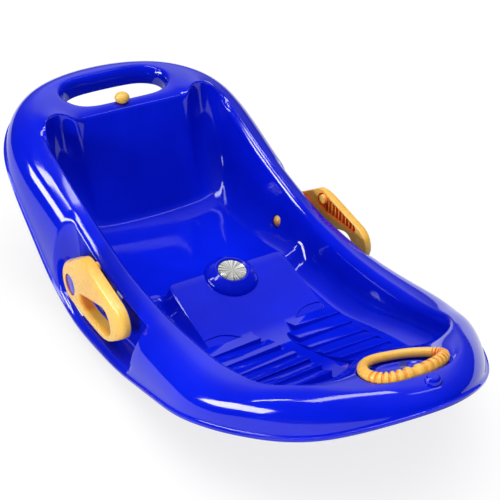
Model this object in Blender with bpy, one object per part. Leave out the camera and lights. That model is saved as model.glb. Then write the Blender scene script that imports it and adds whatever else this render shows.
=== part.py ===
"""Child's plastic sled with two hand brakes.

Metres, +Z up. The nose points along -Y, the backrest is toward +Y and the rider's left is +X.
The origin lies on the ground, below the middle of the sled.
"""

import math

import bmesh
import bpy
from mathutils import Matrix, Vector

# Shell: one moulding of even wall, with a small flange round its lower lip
WALL = 0.003
FLANGE = 0.004
LENGTH = 0.838
LIP_HALF_WIDTH = 0.1865
NOSE_TURN_Y = -0.180
TAIL_TURN_Y = 0.250
NOSE_ROUNDNESS = 1.68
TAIL_ROUNDNESS = 2.2

# Heights along the sled, as (y, z): the crown of the rim and its lower lip
CROWN_LINE = (
    (-0.384, 0.160), (-0.309, 0.1395), (-0.237, 0.1155), (-0.165, 0.1035), (-0.090, 0.0995),
    (0.012, 0.1085), (0.119, 0.1385), (0.226, 0.1805), (0.300, 0.2085), (0.382, 0.2255),
)
LIP_LINE = (
    (-0.414, 0.149), (-0.342, 0.103), (-0.245, 0.076), (-0.126, 0.047), (-0.020, 0.0265),
    (0.060, 0.0235), (0.140, 0.046), (0.248, 0.122), (0.330, 0.166), (0.424, 0.196),
)

# Places along the sled are drawn between the ends of the lip's line and stretched to the length
NOSE_LIP_Y = LIP_LINE[0][0]
TAIL_LIP_Y = LIP_LINE[-1][0]
STRETCH = LENGTH / (TAIL_LIP_Y - NOSE_LIP_Y)

SIDE_ROLL = 0.052
NOSE_ROLL = 0.030
TAIL_ROLL = 0.042
CROWN_RISE = 0.0105
SKIRT_FULLNESS = 1.05
TAIL_SPREAD_Y = 0.150
TAIL_SPREAD_LENGTH = 0.100
TAIL_SPREAD = 0.040
NOSE_SPREAD_Y = -0.170
NOSE_SPREAD_LENGTH = 0.070
NOSE_SPREAD = 0.030

# Opening of the tub
OPENING_LINE = ((-0.256, 0.119), (-0.150, 0.125), (0.067, 0.1305), (0.174, 0.132), (0.262, 0.135))
OPENING_FRONT_Y = -0.302
OPENING_CORNER = 0.046
TONGUE_DEPTH = 0.022
TONGUE_HALF_WIDTH = 0.066
TONGUE_RISE = 0.008
BACKREST_HALF_WIDTH = 0.080
BACKREST_TOP_Y = 0.275
BACKREST_TOP_Z = 0.2035
EAR_CENTRE = (0.110, 0.265)
EAR_RADIUS = 0.024
EAR_RISE = 0.012
EAR_RISE_START = -0.125

# Floor of the tub
FLOOR_REAR_Y = 0.222
FLOOR_FRONT_Y = -0.262
FLOOR_LINE = ((-0.262, 0.090), (-0.150, 0.098), (0.000, 0.102), (0.100, 0.101), (0.222, 0.098))
SEAT_LINE = ((0.030, 0.0485), (0.060, 0.045), (0.120, 0.0435), (0.185, 0.048), (0.222, 0.058))
STEP_Y = 0.022
STEP_TOP_Z = 0.0745
STEP_SLOPE = 0.30
STEP_HALF_WIDTH = 0.085
STEP_SIDE = 0.0045
STEP_ROUNDING = 0.004
SEAT_DISH = 0.006
FLOOR_FILLET = 0.012
SEAT_SPREAD_Y = 0.060
FLOOR_GATHER = 0.047
FOOT_SPREAD_Y = -0.130
CHANNEL_Z = 0.036
FOOT_SLOPE_Y = -0.100
FOOT_SLOPE_Z = 0.031

# Foot treads: saw-tooth ribs on each side, crests facing the nose
TREAD_COUNT = 6
TREAD_FIRST_Y = -0.106
TREAD_PITCH = 0.0275
TREAD_RAMP = 0.9
TREAD_LAND = 0.002
TREAD_TOPS = ((-0.246, 0.087), (-0.191, 0.066), (-0.150, 0.0545), (-0.106, 0.050))
TREAD_INNER = ((-0.246, 0.018), (-0.191, 0.0095), (-0.150, 0.010), (-0.106, 0.025))
TREAD_OUTER = ((-0.246, 0.080), (-0.191, 0.088), (-0.106, 0.0925))

# Shallow foot-shaped wells that the treads stand in, rounded at the heel
FOOT_WELL_DEPTH = 0.0015
HEEL_X = 0.072
HEEL_Y = -0.1155
HEEL_RADIUS = 0.045
HEEL_ANGLES = (80.0, 62.0, 42.0, 22.0, 2.0)
FOOT_WELL_ROWS = (-0.130, -0.150, -0.170, -0.191, -0.215, -0.238, -0.251)

# Hand slot in the rear deck
SLOT_HALF_LENGTH = 0.087
SLOT_FRONT_Y = 0.293
SLOT_REAR_Y = 0.372
SLOT_DEPTH = 0.026
SLOT_LEVELS = ((0.0, 0.0), (0.004, 0.004), (0.007, 0.012), (0.008, SLOT_DEPTH))

# Badge boss on the step
BADGE_Y = 0.004
BADGE_Z = 0.080
BADGE_TILT = math.radians(15.0)
BADGE_RADIUS = 0.0198
BEAD_HEIGHT = 0.0015
BEAD_WIDTH = 0.0045
BOSS_RADIUS = 0.036
BOSS_ROUNDING = 0.009
BOSS_DOME = 0.014
BOSS_DRAFT = 0.001
BOSS_DEPTH = 0.044
BADGE_DEPTH = 0.003
DISC_THICKNESS = 0.0012
LENS_EDGE = 0.0012
LENS_RISE = 0.0028

# Towing-grip recess in the nose
RECESS_CENTRE_Y = -0.343
RECESS_TURN = math.radians(-15.0)
RECESS_DEPTH = 0.0115
RECESS_CLEARANCE = 0.002
RECESS_ROUNDING = 0.001
GRIP_HALF_LENGTH = 0.0435
GRIP_HALF_WIDTH = 0.0244
GRIP_RADIUS = 0.0063
GRIP_SWELL = 0.0012
GRIP_TAPER = 0.40
GRIP_ROUNDNESS = 0.80
GRIP_STEPS = 72
GRIP_SIDES = 10
GRIP_RIB_DEPTH = 0.0009
GRIP_RIB_SHARES = (0.12, 0.56)
GRIP_SEAT = 0.0003
ISLAND_CLEARANCE = 0.003
ISLAND_END = 0.024
ISLAND_HEIGHT = 0.006
ISLAND_RIM = 0.006
DISH_DEPTH = 0.0025
CORD_HOLE_RADIUS = 0.005
CORD_HOLE_PLACE = (0.0, 0.004)

# Lug in front of the grip
LUG_DISTANCE = 0.0455
LUG_RADIUS = 0.009
LUG_BASE = 0.008
LUG_RISE = 0.005

# Knob on the front edge of the hand slot
KNOB_X = -0.009
KNOB_SET_OUT = 0.005
KNOB_Y = SLOT_FRONT_Y - KNOB_SET_OUT
KNOB_RADIUS = 0.0098
KNOB_STEM_RADIUS = 0.003
KNOB_STEM_REACH = 0.006
KNOB_SINK = 0.0015

# Brakes, about one axis across the sled
PIVOT_Y = 0.0935
PIVOT_Z = 0.071
BRAKE_CLEARANCE = 0.0003
LEVER_SET_IN = 0.0005
LOOP_WIDTH = 0.016
HUB_REACH = 0.0095
LEVER_OUTER_X = LIP_HALF_WIDTH - LEVER_SET_IN
LOOP_INNER_X = LEVER_OUTER_X - LOOP_WIDTH
LEVER_INNER_X = LOOP_INNER_X - HUB_REACH
LEVER_OUTLINE = (
    (0.0, 0.0, 0.031), (-0.043, 0.031, 0.026), (-0.122, 0.013, 0.025), (-0.050, -0.008, 0.025),
)
LEVER_HUB = (0.0, 0.0, 0.0306)
LEVER_PEG = (-0.051, 0.039, 0.0068)
PEG_REACH = 0.004
EDGE_BREAK = 0.001
CORE_OVERLAP = 0.0005
LEVER_ROUNDING = 0.0075
FINGER_HOLE = ((-0.042, -0.0045, 0.009), (-0.075, 0.002, 0.0105), (-0.101, 0.0055, 0.0125))
FINGER_FLARE = 0.003
LEVER_CORE = ((-0.045, 0.040, 0.0125), (-0.080, 0.0375, 0.0085), (-0.114, 0.0315, 0.006))
LEVER_CORE_TOP = ((-0.114, 0.038), (-0.080, 0.0468), (-0.045, 0.053))
LEVER_CORE_FLOOR = ((-0.114, 0.0245), (-0.045, 0.0265))
LEVER_CORE_DEPTH = 0.0115
LEVER_CORE_DRAFT = 0.0006
LEVER_RIB_START = 0.004
LEVER_RIB_SET_IN = 0.0015
LEVER_RIBS = 9
LEVER_RIB_PITCH = 0.0078
LEVER_RIB_THICKNESS = 0.0016
SLEEVE_RADIUS = 0.010
SLEEVE_FLANGE_RADIUS = 0.0142
SLEEVE_FLANGE = 0.0022
SLEEVE_SET_IN = 0.0012
SLEEVE_CHAMFER = 0.0006
SLEEVE_FACE_X = LEVER_OUTER_X - SLEEVE_SET_IN
BOLT_RADIUS = 0.004
BOLT_COVER = 0.0058
BOLT_END_X = SLEEVE_FACE_X - BOLT_COVER
BOLT_HEAD_RADIUS = 0.009
BOLT_HEAD_HEIGHT = 0.005
BOLT_HEAD_CLEARANCE = 0.001
BOLT_HEAD_PROFILE = ((0.55, 0.12), (0.9, 0.44), (1.0, 0.72))
BOLT_SLOT_HALF_WIDTH = 0.001
BOLT_SLOT_DEPTH = 0.0022
BOLT_SLOT_TURN = math.radians(35.0)
BOLT_SEAT_RADIUS = 0.0115
PIVOT_SEAT_RADIUS = 0.015
BOLT_SEAT_X = 0.132
BOLT_SEAT_THICKNESS = 0.006
BOLT_REACH = 0.025
ARM_ANGLE = math.radians(-27.0)
ARM_LENGTH = 0.086
ARM_SET_IN = 0.0025
ARM_WIDTH = 0.012
ARM_INNER_X = LEVER_INNER_X + ARM_SET_IN
ARM_OUTER_X = ARM_INNER_X + ARM_WIDTH
ARM_HALF_HEIGHT = 0.008
ARM_SLOT_AHEAD = 0.0175
ARM_SLOT_BEHIND = 0.0745
ARM_SLOT_TOP_Z = 0.062
ARM_SLOT_CORNER = 0.012
ARM_SLOT_CLEARANCE = 0.005
ARM_SLOT_INNER_X = ARM_INNER_X - ARM_SLOT_CLEARANCE
ARM_SLOT_OUTER_X = ARM_OUTER_X + ARM_SLOT_CLEARANCE
CLAW_THICKNESS = 0.002
CLAW_START = 0.056
CLAW_ROOT = 0.087
CLAW_TIP = 0.096
CLAW_REACH = 0.0095
CLAW_INNER_X = ARM_INNER_X - CLAW_REACH
CLAW_TEETH = 3
RIVET_RADIUS = 0.0025
RIVET_HEAD_RADIUS = 0.0042
RIVET_HEAD_HEIGHT = 0.0012
RIVET_DEPTH = 0.006
RIVET_PLACES = (0.064, 0.078)

# Lever pockets in the rim: their true size, and their ends in the drawn length
POCKET_AHEAD = 0.1645
POCKET_BEHIND = 0.0565
POCKET_RAMP = 0.024
POCKET_LEAD = 0.016
POCKET_EDGE = 0.004
POCKET_FRONT_Y = PIVOT_Y - POCKET_AHEAD / STRETCH
POCKET_REAR_Y = PIVOT_Y + POCKET_BEHIND / STRETCH
POCKET_FLAT_Y = POCKET_REAR_Y - POCKET_RAMP / STRETCH
POCKET_WIDTH = 0.0285
POCKET_EDGE_X = LIP_HALF_WIDTH - POCKET_WIDTH
POCKET_UNDERCUT = 0.0035
POCKET_WALL_X = POCKET_EDGE_X - POCKET_UNDERCUT
POCKET_ROUND = 0.005
POCKET_LEDGE = 0.006

# Runners moulded under the floor
RUNNER_X = 0.072
RUNNER_HALF_WIDTH = 0.007
RUNNER_FRONT_Y = -0.215
RUNNER_FLAT_FRONT_Y = -0.110
RUNNER_FLAT_REAR_Y = 0.160
RUNNER_REAR_Y = 0.205
RUNNER_FRONT_RISE = 0.050
RUNNER_REAR_RISE = 0.030

GAP = 0.0003

BLUE = (0.010, 0.012, 0.72, 1.0)
ORANGE = (0.93, 0.42, 0.07, 1.0)
SILVER = (0.80, 0.81, 0.82, 1.0)
STEEL = (0.62, 0.63, 0.65, 1.0)
CLEAR = (0.95, 0.97, 1.0, 1.0)


def material(name, colour, roughness, metallic=0.0, alpha=1.0):
    """A Principled material in one colour."""
    made = bpy.data.materials.new(name)
    made.use_nodes = True
    shader = made.node_tree.nodes["Principled BSDF"]
    shader.inputs["Base Color"].default_value = colour
    shader.inputs["Roughness"].default_value = roughness
    shader.inputs["Metallic"].default_value = metallic
    shader.inputs["Alpha"].default_value = alpha
    return made


def through(points, position):
    """The height at a position on the smooth curve through the points, with no overshoot."""
    if position <= points[0][0]:
        return points[0][1]
    if position >= points[-1][0]:
        return points[-1][1]
    slopes = [(b[1] - a[1]) / (b[0] - a[0]) for a, b in zip(points, points[1:])]
    tangents = [slopes[0]]
    for before, after in zip(slopes, slopes[1:]):
        tangents.append(0.0 if before * after <= 0.0 else 2.0 * before * after / (before + after))
    tangents.append(slopes[-1])
    for index, (start, end) in enumerate(zip(points, points[1:])):
        if position <= end[0]:
            break
    span = end[0] - start[0]
    t = (position - start[0]) / span
    return (
        start[1] * (1.0 + 2.0 * t) * (1.0 - t) ** 2
        + end[1] * t * t * (3.0 - 2.0 * t)
        + span * tangents[index] * t * (1.0 - t) ** 2
        + span * tangents[index + 1] * t * t * (t - 1.0)
    )


def blend(a, b, t):
    """The value at share t of the way from a to b."""
    return a + (b - a) * t


def ease(t):
    """A soft step from 0 to 1."""
    t = min(max(t, 0.0), 1.0)
    return t * t * (3.0 - 2.0 * t)


def side_name(side):
    """The rider's side: left is +X."""
    return "left" if side > 0.0 else "right"


def add_object(name, mesh, look, smooth_angle=30.0):
    """Link a mesh as a named object with its material."""
    made = bpy.data.objects.new(name, mesh)
    made.parent = bpy.data.objects["sled"]
    bpy.context.scene.collection.objects.link(made)
    mesh.materials.clear()
    mesh.materials.append(look)
    mesh.shade_smooth()
    mesh.set_sharp_from_angle(angle=math.radians(smooth_angle))
    return made


def mesh_from(work, name):
    """Turn a bmesh into a mesh whose faces point outward."""
    bmesh.ops.recalc_face_normals(work, faces=work.faces)
    mesh = bpy.data.meshes.new(name)
    work.to_mesh(mesh)
    work.free()
    return mesh


def boolean(target, tool, operation, solver="EXACT"):
    """Join or cut the target with a tool object that stays hidden."""
    tool.hide_render = True
    tool.display_type = "WIRE"
    step = target.modifiers.new(operation.lower() + " " + tool.name, "BOOLEAN")
    step.operation = operation
    step.object = tool
    step.solver = solver


def prism(outline, start, end, axis):
    """A closed solid: an outline of (a, b) pairs drawn out along one axis from start to end."""
    def place(a, b, c):
        return {"X": (c, a, b), "Y": (a, c, b), "Z": (a, b, c)}[axis]

    work = bmesh.new()
    face = work.faces.new([work.verts.new(place(a, b, start)) for a, b in outline])
    moved = bmesh.ops.extrude_face_region(work, geom=[face])
    offset = Vector(place(0.0, 0.0, end)) - Vector(place(0.0, 0.0, start))
    points = [item for item in moved["geom"] if isinstance(item, bmesh.types.BMVert)]
    bmesh.ops.translate(work, verts=points, vec=offset)
    return work


def turned(profile, sides, matrix):
    """A solid of revolution from a profile of (radius, height), closed on the axis at both ends."""
    work = bmesh.new()
    loops = []
    for radius, height in profile:
        if radius == 0.0:
            loops.append([work.verts.new((0.0, 0.0, height))])
            continue
        loop = []
        for index in range(sides):
            angle = 2.0 * math.pi * index / sides
            loop.append(work.verts.new((radius * math.cos(angle), radius * math.sin(angle), height)))
        loops.append(loop)
    for lower, upper in zip(loops, loops[1:]):
        for index in range(sides):
            after = (index + 1) % sides
            corners = []
            for corner in (
                lower[index % len(lower)], lower[after % len(lower)],
                upper[after % len(upper)], upper[index % len(upper)],
            ):
                if corner not in corners:
                    corners.append(corner)
            if len(corners) > 2:
                work.faces.new(corners)
    bmesh.ops.transform(work, matrix=matrix, verts=work.verts)
    return work


def belt(circles, step=math.radians(15.0)):
    """The outline of a belt stretched round circles, each given as (a, b, radius)."""
    outline = []
    directions = [index * step for index in range(round(2.0 * math.pi / step))]
    for angle in directions:
        reach = [c[0] * math.cos(angle) + c[1] * math.sin(angle) + c[2] for c in circles]
        a, b, radius = circles[reach.index(max(reach))]
        outline.append((a + radius * math.cos(angle), b + radius * math.sin(angle)))
    return outline


# Stations round the hull, from the middle of the tail to the middle of the nose

TAIL_STATIONS = (0.252, 0.228, 0.203, 0.178)
SEAT_STATIONS = (0.104, 0.080, 0.053)
STEP_LEAD = 0.008
KNEE_STATIONS = (-0.004, -0.030)
FOOT_STATIONS = (-0.100, -0.130, -0.160, -0.190, -0.215, -0.238)
POCKET_REAR_STATIONS = (
    POCKET_REAR_Y + POCKET_EDGE, POCKET_REAR_Y, (POCKET_REAR_Y + POCKET_FLAT_Y) / 2.0, POCKET_FLAT_Y,
)
POCKET_FRONT_STATIONS = (POCKET_FRONT_Y + POCKET_LEAD, POCKET_FRONT_Y + POCKET_EDGE, POCKET_FRONT_Y)
SIDE_STATIONS = (
    TAIL_STATIONS + POCKET_REAR_STATIONS + SEAT_STATIONS + (STEP_Y + STEP_LEAD, STEP_Y)
    + KNEE_STATIONS + POCKET_FRONT_STATIONS + FOOT_STATIONS
)
END_STEPS = 7
NOSE_CORNER = END_STEPS + len(SIDE_STATIONS) + 1
STATIONS = NOSE_CORNER + END_STEPS + 1
TAIL_SHARES = (0.0, 0.16, 0.32, 0.47, 0.60, 0.72, 0.84, 0.93)
NOSE_SHARES = (0.885, 0.79, 0.68, 0.56, 0.42, 0.28, 0.14, 0.0)
EAR_ANGLES = (170.0, 115.0, 65.0, 20.0)
CORNER_ANGLES = (12.0, 38.0, 64.0, 90.0)
STEP_COLUMNS = (0.0, 0.018, 0.036, 0.055, 0.072)
MID_COLUMNS = STEP_COLUMNS + (STEP_HALF_WIDTH, STEP_HALF_WIDTH + STEP_SIDE)
REAR_COLUMNS = (0.0, 0.35, 0.69, 1.0)


def lip_point(k):
    """The lower lip of the skirt at a station, in plan."""
    if k <= END_STEPS:
        share = TAIL_SHARES[k]
        reach = (1.0 - share ** TAIL_ROUNDNESS) ** (1.0 / TAIL_ROUNDNESS)
        return LIP_HALF_WIDTH * share, blend(TAIL_TURN_Y, TAIL_LIP_Y, reach)
    if k >= NOSE_CORNER:
        share = NOSE_SHARES[k - NOSE_CORNER]
        reach = (1.0 - share ** NOSE_ROUNDNESS) ** (1.0 / NOSE_ROUNDNESS)
        return LIP_HALF_WIDTH * share, blend(NOSE_TURN_Y, NOSE_LIP_Y, reach)
    y = SIDE_STATIONS[k - END_STEPS - 1]
    if y > TAIL_SPREAD_Y:
        y += TAIL_SPREAD * ((y - TAIL_SPREAD_Y) / TAIL_SPREAD_LENGTH) ** 2
    if y < NOSE_SPREAD_Y:
        y -= NOSE_SPREAD * ((NOSE_SPREAD_Y - y) / NOSE_SPREAD_LENGTH) ** 2
    x = LIP_HALF_WIDTH
    if y > TAIL_TURN_Y:
        share = (y - TAIL_TURN_Y) / (TAIL_LIP_Y - TAIL_TURN_Y)
        x *= (1.0 - share ** TAIL_ROUNDNESS) ** (1.0 / TAIL_ROUNDNESS)
    if y < NOSE_TURN_Y:
        share = (NOSE_TURN_Y - y) / (NOSE_TURN_Y - NOSE_LIP_Y)
        x *= (1.0 - share ** NOSE_ROUNDNESS) ** (1.0 / NOSE_ROUNDNESS)
    return x, y


def opening_point(k):
    """The edge of the tub's opening at a station: x, y and height."""
    if k <= 3:
        return BACKREST_HALF_WIDTH * REAR_COLUMNS[k], BACKREST_TOP_Y, BACKREST_TOP_Z
    if k <= END_STEPS:
        angle = math.radians(EAR_ANGLES[k - 4])
        x = EAR_CENTRE[0] + EAR_RADIUS * math.cos(angle)
        y = EAR_CENTRE[1] + EAR_RADIUS * math.sin(angle)
        rise = ease((y - EAR_CENTRE[1]) / EAR_RADIUS - EAR_RISE_START)
        return x, y, BACKREST_TOP_Z + EAR_RISE * rise
    if k < NOSE_CORNER:
        y = SIDE_STATIONS[k - END_STEPS - 1]
        return through(OPENING_LINE, y), y, through(CROWN_LINE, y) - CROWN_RISE
    step = k - NOSE_CORNER
    if step < 4:
        angle = math.radians(CORNER_ANGLES[step])
        x = OPENING_LINE[0][1] - OPENING_CORNER * (1.0 - math.cos(angle))
        y = OPENING_FRONT_Y + OPENING_CORNER * (1.0 - math.sin(angle))
        return x, y, through(CROWN_LINE, y) - CROWN_RISE
    x = (OPENING_LINE[0][1] - OPENING_CORNER) * (7 - step) / 4.0
    bulge = 0.5 + 0.5 * math.cos(math.pi * min(x / TONGUE_HALF_WIDTH, 1.0))
    y = OPENING_FRONT_Y + TONGUE_DEPTH * bulge
    return x, y, through(CROWN_LINE, y) - CROWN_RISE + TONGUE_RISE * bulge


def seat_height(x, y):
    """Height of the tub's floor, without its treads."""
    side = abs(x)
    if y > STEP_Y + STEP_ROUNDING:
        return through(SEAT_LINE, y) + SEAT_DISH * (side / FLOOR_LINE[-1][1]) ** 2
    slope = STEP_TOP_Z - STEP_SLOPE * (STEP_Y - y)
    foot = FOOT_SLOPE_Z + STEP_SLOPE * (FOOT_SLOPE_Y - y)
    centre = 0.5 * (slope + foot + math.hypot(slope - foot, STEP_ROUNDING))
    channel = 0.5 * (CHANNEL_Z + foot + math.hypot(CHANNEL_Z - foot, STEP_ROUNDING))
    if side > STEP_HALF_WIDTH + 0.5 * STEP_SIDE:
        return min(centre, channel)
    return centre


def column(i, y):
    """Distance from the centre line of a floor column at a given y."""
    edge = through(FLOOR_LINE, y)
    rear = (
        0.0, 0.35 * BACKREST_HALF_WIDTH, 0.69 * BACKREST_HALF_WIDTH, 0.99 * BACKREST_HALF_WIDTH,
        edge - FLOOR_FILLET, edge - 0.6 * FLOOR_FILLET, edge - 0.25 * FLOOR_FILLET, edge,
    )[i]
    middle = edge if i == END_STEPS else MID_COLUMNS[i]
    front = edge * i / END_STEPS
    if y > SEAT_SPREAD_Y:
        return blend(middle, rear, ease((y - SEAT_SPREAD_Y) / (FLOOR_REAR_Y - SEAT_SPREAD_Y)))
    return blend(middle, front, ease((FOOT_SPREAD_Y - y) / (FOOT_SPREAD_Y - FLOOR_FRONT_Y)))


def floor_row_y(j):
    """The y of a floor row."""
    if j == 0:
        return FLOOR_REAR_Y
    if j > len(SIDE_STATIONS):
        return FLOOR_FRONT_Y
    y = SIDE_STATIONS[j - 1]
    if y > TAIL_SPREAD_Y:
        y -= FLOOR_GATHER * ((y - TAIL_SPREAD_Y) / TAIL_SPREAD_LENGTH) ** 1.2
    return y


def floor_point(i, j):
    """A point of the floor's grid: column i from the centre line, row j from the backrest."""
    y = floor_row_y(j)
    x = column(i, y)
    return Vector((x, y, seat_height(x, y)))


def floor_edge(k):
    """The floor's edge below a station."""
    if k <= END_STEPS:
        return floor_point(k, 0)
    if k >= NOSE_CORNER:
        return floor_point(STATIONS - 1 - k, len(SIDE_STATIONS) + 1)
    return floor_point(END_STEPS, k - END_STEPS)


# Rows across the hull, from the flange up over the crown and down to the floor

SKIRT_ANGLES = (90.0, 76.0, 60.0, 46.0, 37.0, 27.5, 14.0, 0.0)
DECK_SHARES = (0.10, 0.35, 0.62, 0.82, 0.92)
WALL_SHARES = (0.04, 0.25, 0.55, 0.80, 0.94)
WALL_POWER = (1.2, 1.2, 1.2, 1.25, 3.0, 2.6, 2.6, 3.0)
SIDE_WALL_POWER = 4.5
HOLE_ROWS = (9, 10, 11, 12)
HOLE_STEPS = 3


def crown_point(k):
    """Where the deck turns over into the skirt, at a station."""
    lip = Vector(lip_point(k))
    opening = Vector(opening_point(k)[:2])
    across = (opening - lip).length
    end = ease((abs(lip.normalized().y) - 0.8) / 0.2)
    roll = blend(SIDE_ROLL, TAIL_ROLL if lip.y > 0.0 else NOSE_ROLL, end)
    place = lip + (opening - lip) * min(roll / across, 0.85)
    return Vector((place.x, place.y, through(CROWN_LINE, place.y)))


def skirt_point(k, angle):
    """A point of the skirt: angle 0 on the crown, 90 degrees on the lip."""
    x, y = lip_point(k)
    crown = crown_point(k)
    lip = Vector((x, y, through(LIP_LINE, y)))
    turn = math.radians(angle)
    place = crown + (lip - crown) * math.sin(turn) ** SKIRT_FULLNESS
    place.z = lip.z + (crown.z - lip.z) * math.cos(turn)
    return place


def deck_height(k, share):
    """Height of the deck at a station: share 0 on the crown, 1 at the tub's opening."""
    rise = math.sin(0.5 * math.pi * (1.0 - min(max(share, 0.0), 1.0))) ** 0.8
    return blend(opening_point(k)[2], crown_point(k).z, rise)


def deck_height_at(k, y):
    """Height of the deck near a station, at a given y."""
    crown = crown_point(k).y
    return deck_height(k, (y - crown) / (opening_point(k)[1] - crown))


def pocket_share(k):
    """How far a station is sunk into the lever pocket: 0 outside, 1 inside."""
    if not END_STEPS < k < NOSE_CORNER:
        return 0.0
    y = SIDE_STATIONS[k - END_STEPS - 1]
    if y <= POCKET_FRONT_Y or y >= POCKET_REAR_Y:
        return 0.0
    return min((POCKET_REAR_Y - y) / (POCKET_REAR_Y - POCKET_FLAT_Y), 1.0)


def hull_column(k):
    """All points of one station from the flange to the floor's edge."""
    x, y = lip_point(k)
    opening = Vector(opening_point(k))
    crown = crown_point(k)
    lip = Vector((x, y, through(LIP_LINE, y)))
    outward = Vector((x - opening.x, y - opening.y, 0.0)).normalized()
    points = [lip + outward * FLANGE]
    points += [skirt_point(k, angle) for angle in SKIRT_ANGLES]
    share = pocket_share(k)
    if share > 0.0:
        ledge = lip.z + POCKET_LEDGE
        points[6].x = POCKET_EDGE_X
        sunk = {
            5: Vector((POCKET_WALL_X + 0.3 * POCKET_UNDERCUT, y, points[6].z - POCKET_ROUND)),
            4: Vector((POCKET_WALL_X, y, ledge + POCKET_ROUND)),
            3: Vector((POCKET_WALL_X + 0.8 * POCKET_ROUND, y, ledge)),
            2: Vector((LIP_HALF_WIDTH - 0.2 * POCKET_ROUND, y, ledge)),
        }
        for row, place in sunk.items():
            points[row] = points[row].lerp(place, share)
    for deck in DECK_SHARES:
        place = crown.lerp(opening, deck)
        place.z = deck_height(k, deck)
        points.append(place)
    points.append(opening)
    foot = floor_edge(k)
    power = WALL_POWER[k] if k <= END_STEPS else SIDE_WALL_POWER
    for wall in WALL_SHARES:
        place = opening.lerp(foot, wall ** power)
        place.z = blend(opening.z, foot.z, wall)
        points.append(place)
    points.append(foot)
    return points


def slot_outline(inset):
    """The hand slot's outline in plan, as (x, y) round from the middle of its front edge."""
    radius = (SLOT_REAR_Y - SLOT_FRONT_Y) / 2.0
    centre = SLOT_HALF_LENGTH - radius
    middle = (SLOT_REAR_Y + SLOT_FRONT_Y) / 2.0
    half = [(0.0, SLOT_FRONT_Y + inset), (0.5 * centre, SLOT_FRONT_Y + inset)]
    for angle in (-90.0, -54.0, -18.0, 18.0, 54.0, 90.0):
        turn = math.radians(angle)
        reach = radius - inset
        half.append((centre + reach * math.cos(turn), middle + reach * math.sin(turn)))
    half += [(0.5 * centre, SLOT_REAR_Y - inset), (0.0, SLOT_REAR_Y - inset)]
    return half + [(-x, y) for x, y in half[-2:0:-1]]


def grip_radius(share):
    """The grip bar's radius, thickest along its front."""
    return GRIP_RADIUS - GRIP_SWELL * math.sin(2.0 * math.pi * share)


def grip_line(share):
    """A point of the grip's centre line, round from its +X end."""
    angle = 2.0 * math.pi * share
    cosine = math.cos(angle)
    x = GRIP_HALF_LENGTH * math.copysign(abs(cosine) ** GRIP_ROUNDNESS, cosine)
    y = GRIP_HALF_WIDTH * math.sin(angle) * (1.0 - GRIP_TAPER * cosine)
    return Vector((x, y, 0.0))


def grip_outward(share):
    """The direction away from the loop's middle at a point of the grip's centre line."""
    along = (grip_line(share + 0.002) - grip_line(share - 0.002)).normalized()
    return Vector((along.y, -along.x, 0.0))


def grip_bottom():
    """How far the bar's lowest flat lies under the grip's centre line."""
    return (GRIP_RADIUS + GRIP_SWELL) * math.cos(math.pi / GRIP_SIDES)


def grip_place():
    """The towing grip's frame: on the recess floor, turned and tilted with the deck."""
    front = deck_height_at(STATIONS - 1, RECESS_CENTRE_Y - GRIP_HALF_WIDTH / STRETCH)
    rear = deck_height_at(STATIONS - 1, RECESS_CENTRE_Y + GRIP_HALF_WIDTH / STRETCH)
    slope = (front - rear) / (2.0 * GRIP_HALF_WIDTH)
    rise = deck_height_at(STATIONS - 1, RECESS_CENTRE_Y) - RECESS_DEPTH + grip_bottom() + GRIP_SEAT
    turned_over = Matrix.Rotation(-math.atan(slope), 4, "X") @ Matrix.Rotation(RECESS_TURN, 4, "Z")
    return Matrix.Translation((0.0, RECESS_CENTRE_Y * STRETCH, rise)) @ turned_over


def drawn(place):
    """A true place as one in the drawn length."""
    return Vector((place.x, place.y / STRETCH, place.z))


def recess_ring(spare, height):
    """The grip's outline widened by a margin, round from the middle of its rear edge."""
    ring = []
    for step in range(18):
        share = 0.25 - step / 18.0
        edge = grip_line(share) + grip_outward(share) * (grip_radius(share) + spare)
        ring.append(drawn(grip_place() @ Vector((edge.x, edge.y, height))))
    return ring


def island_ring(inset, height):
    """The outline of the low island inside the grip, drawn in by an inset."""
    start = GRIP_RADIUS + ISLAND_CLEARANCE - GRIP_HALF_LENGTH
    middle = (ISLAND_END + start) / 2.0
    half_length = (ISLAND_END - start) / 2.0 - inset
    half_width = GRIP_HALF_WIDTH - GRIP_RADIUS - GRIP_SWELL - ISLAND_CLEARANCE - inset
    ring = []
    for step in range(18):
        angle = math.radians(90.0 - 20.0 * step)
        cosine = math.cos(angle)
        x = middle + half_length * math.copysign(abs(cosine) ** GRIP_ROUNDNESS, cosine)
        y = half_width * math.sin(angle) * (1.0 - GRIP_TAPER * cosine)
        ring.append(drawn(grip_place() @ Vector((x, y, height))))
    return ring


def hole_walk(count, middle, step):
    """The stations and rows round a hole in the deck, from the middle of its inner edge."""
    inner, outer = HOLE_ROWS[-1], HOLE_ROWS[0]
    walk = [(middle + step * index, inner) for index in range(HOLE_STEPS + 1)]
    walk += [(middle + step * HOLE_STEPS, row) for row in HOLE_ROWS[2:0:-1]]
    walk += [(middle + step * index, outer) for index in range(HOLE_STEPS, -1, -1)]
    return walk + [((count - k) % count, row) for k, row in walk[-2:0:-1]]


def sink(work, grid, walk, rings, closed):
    """Shape a hole in the deck to its first ring and draw its edge down through the others."""
    loop = []
    for key, place in zip(walk, rings[0]):
        grid[key].co = place
        loop.append(grid[key])
    for ring in rings[1:]:
        lower = [work.verts.new(place) for place in ring]
        for index in range(len(loop)):
            after = (index + 1) % len(loop)
            work.faces.new((loop[index], loop[after], lower[after], lower[index]))
        loop = lower
    if closed:
        for index in range(len(loop) // 2):
            corners = []
            for vertex in (loop[index], loop[index + 1], loop[-index - 1], loop[-index]):
                if vertex not in corners:
                    corners.append(vertex)
            if len(corners) > 2:
                work.faces.new(corners)


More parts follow.
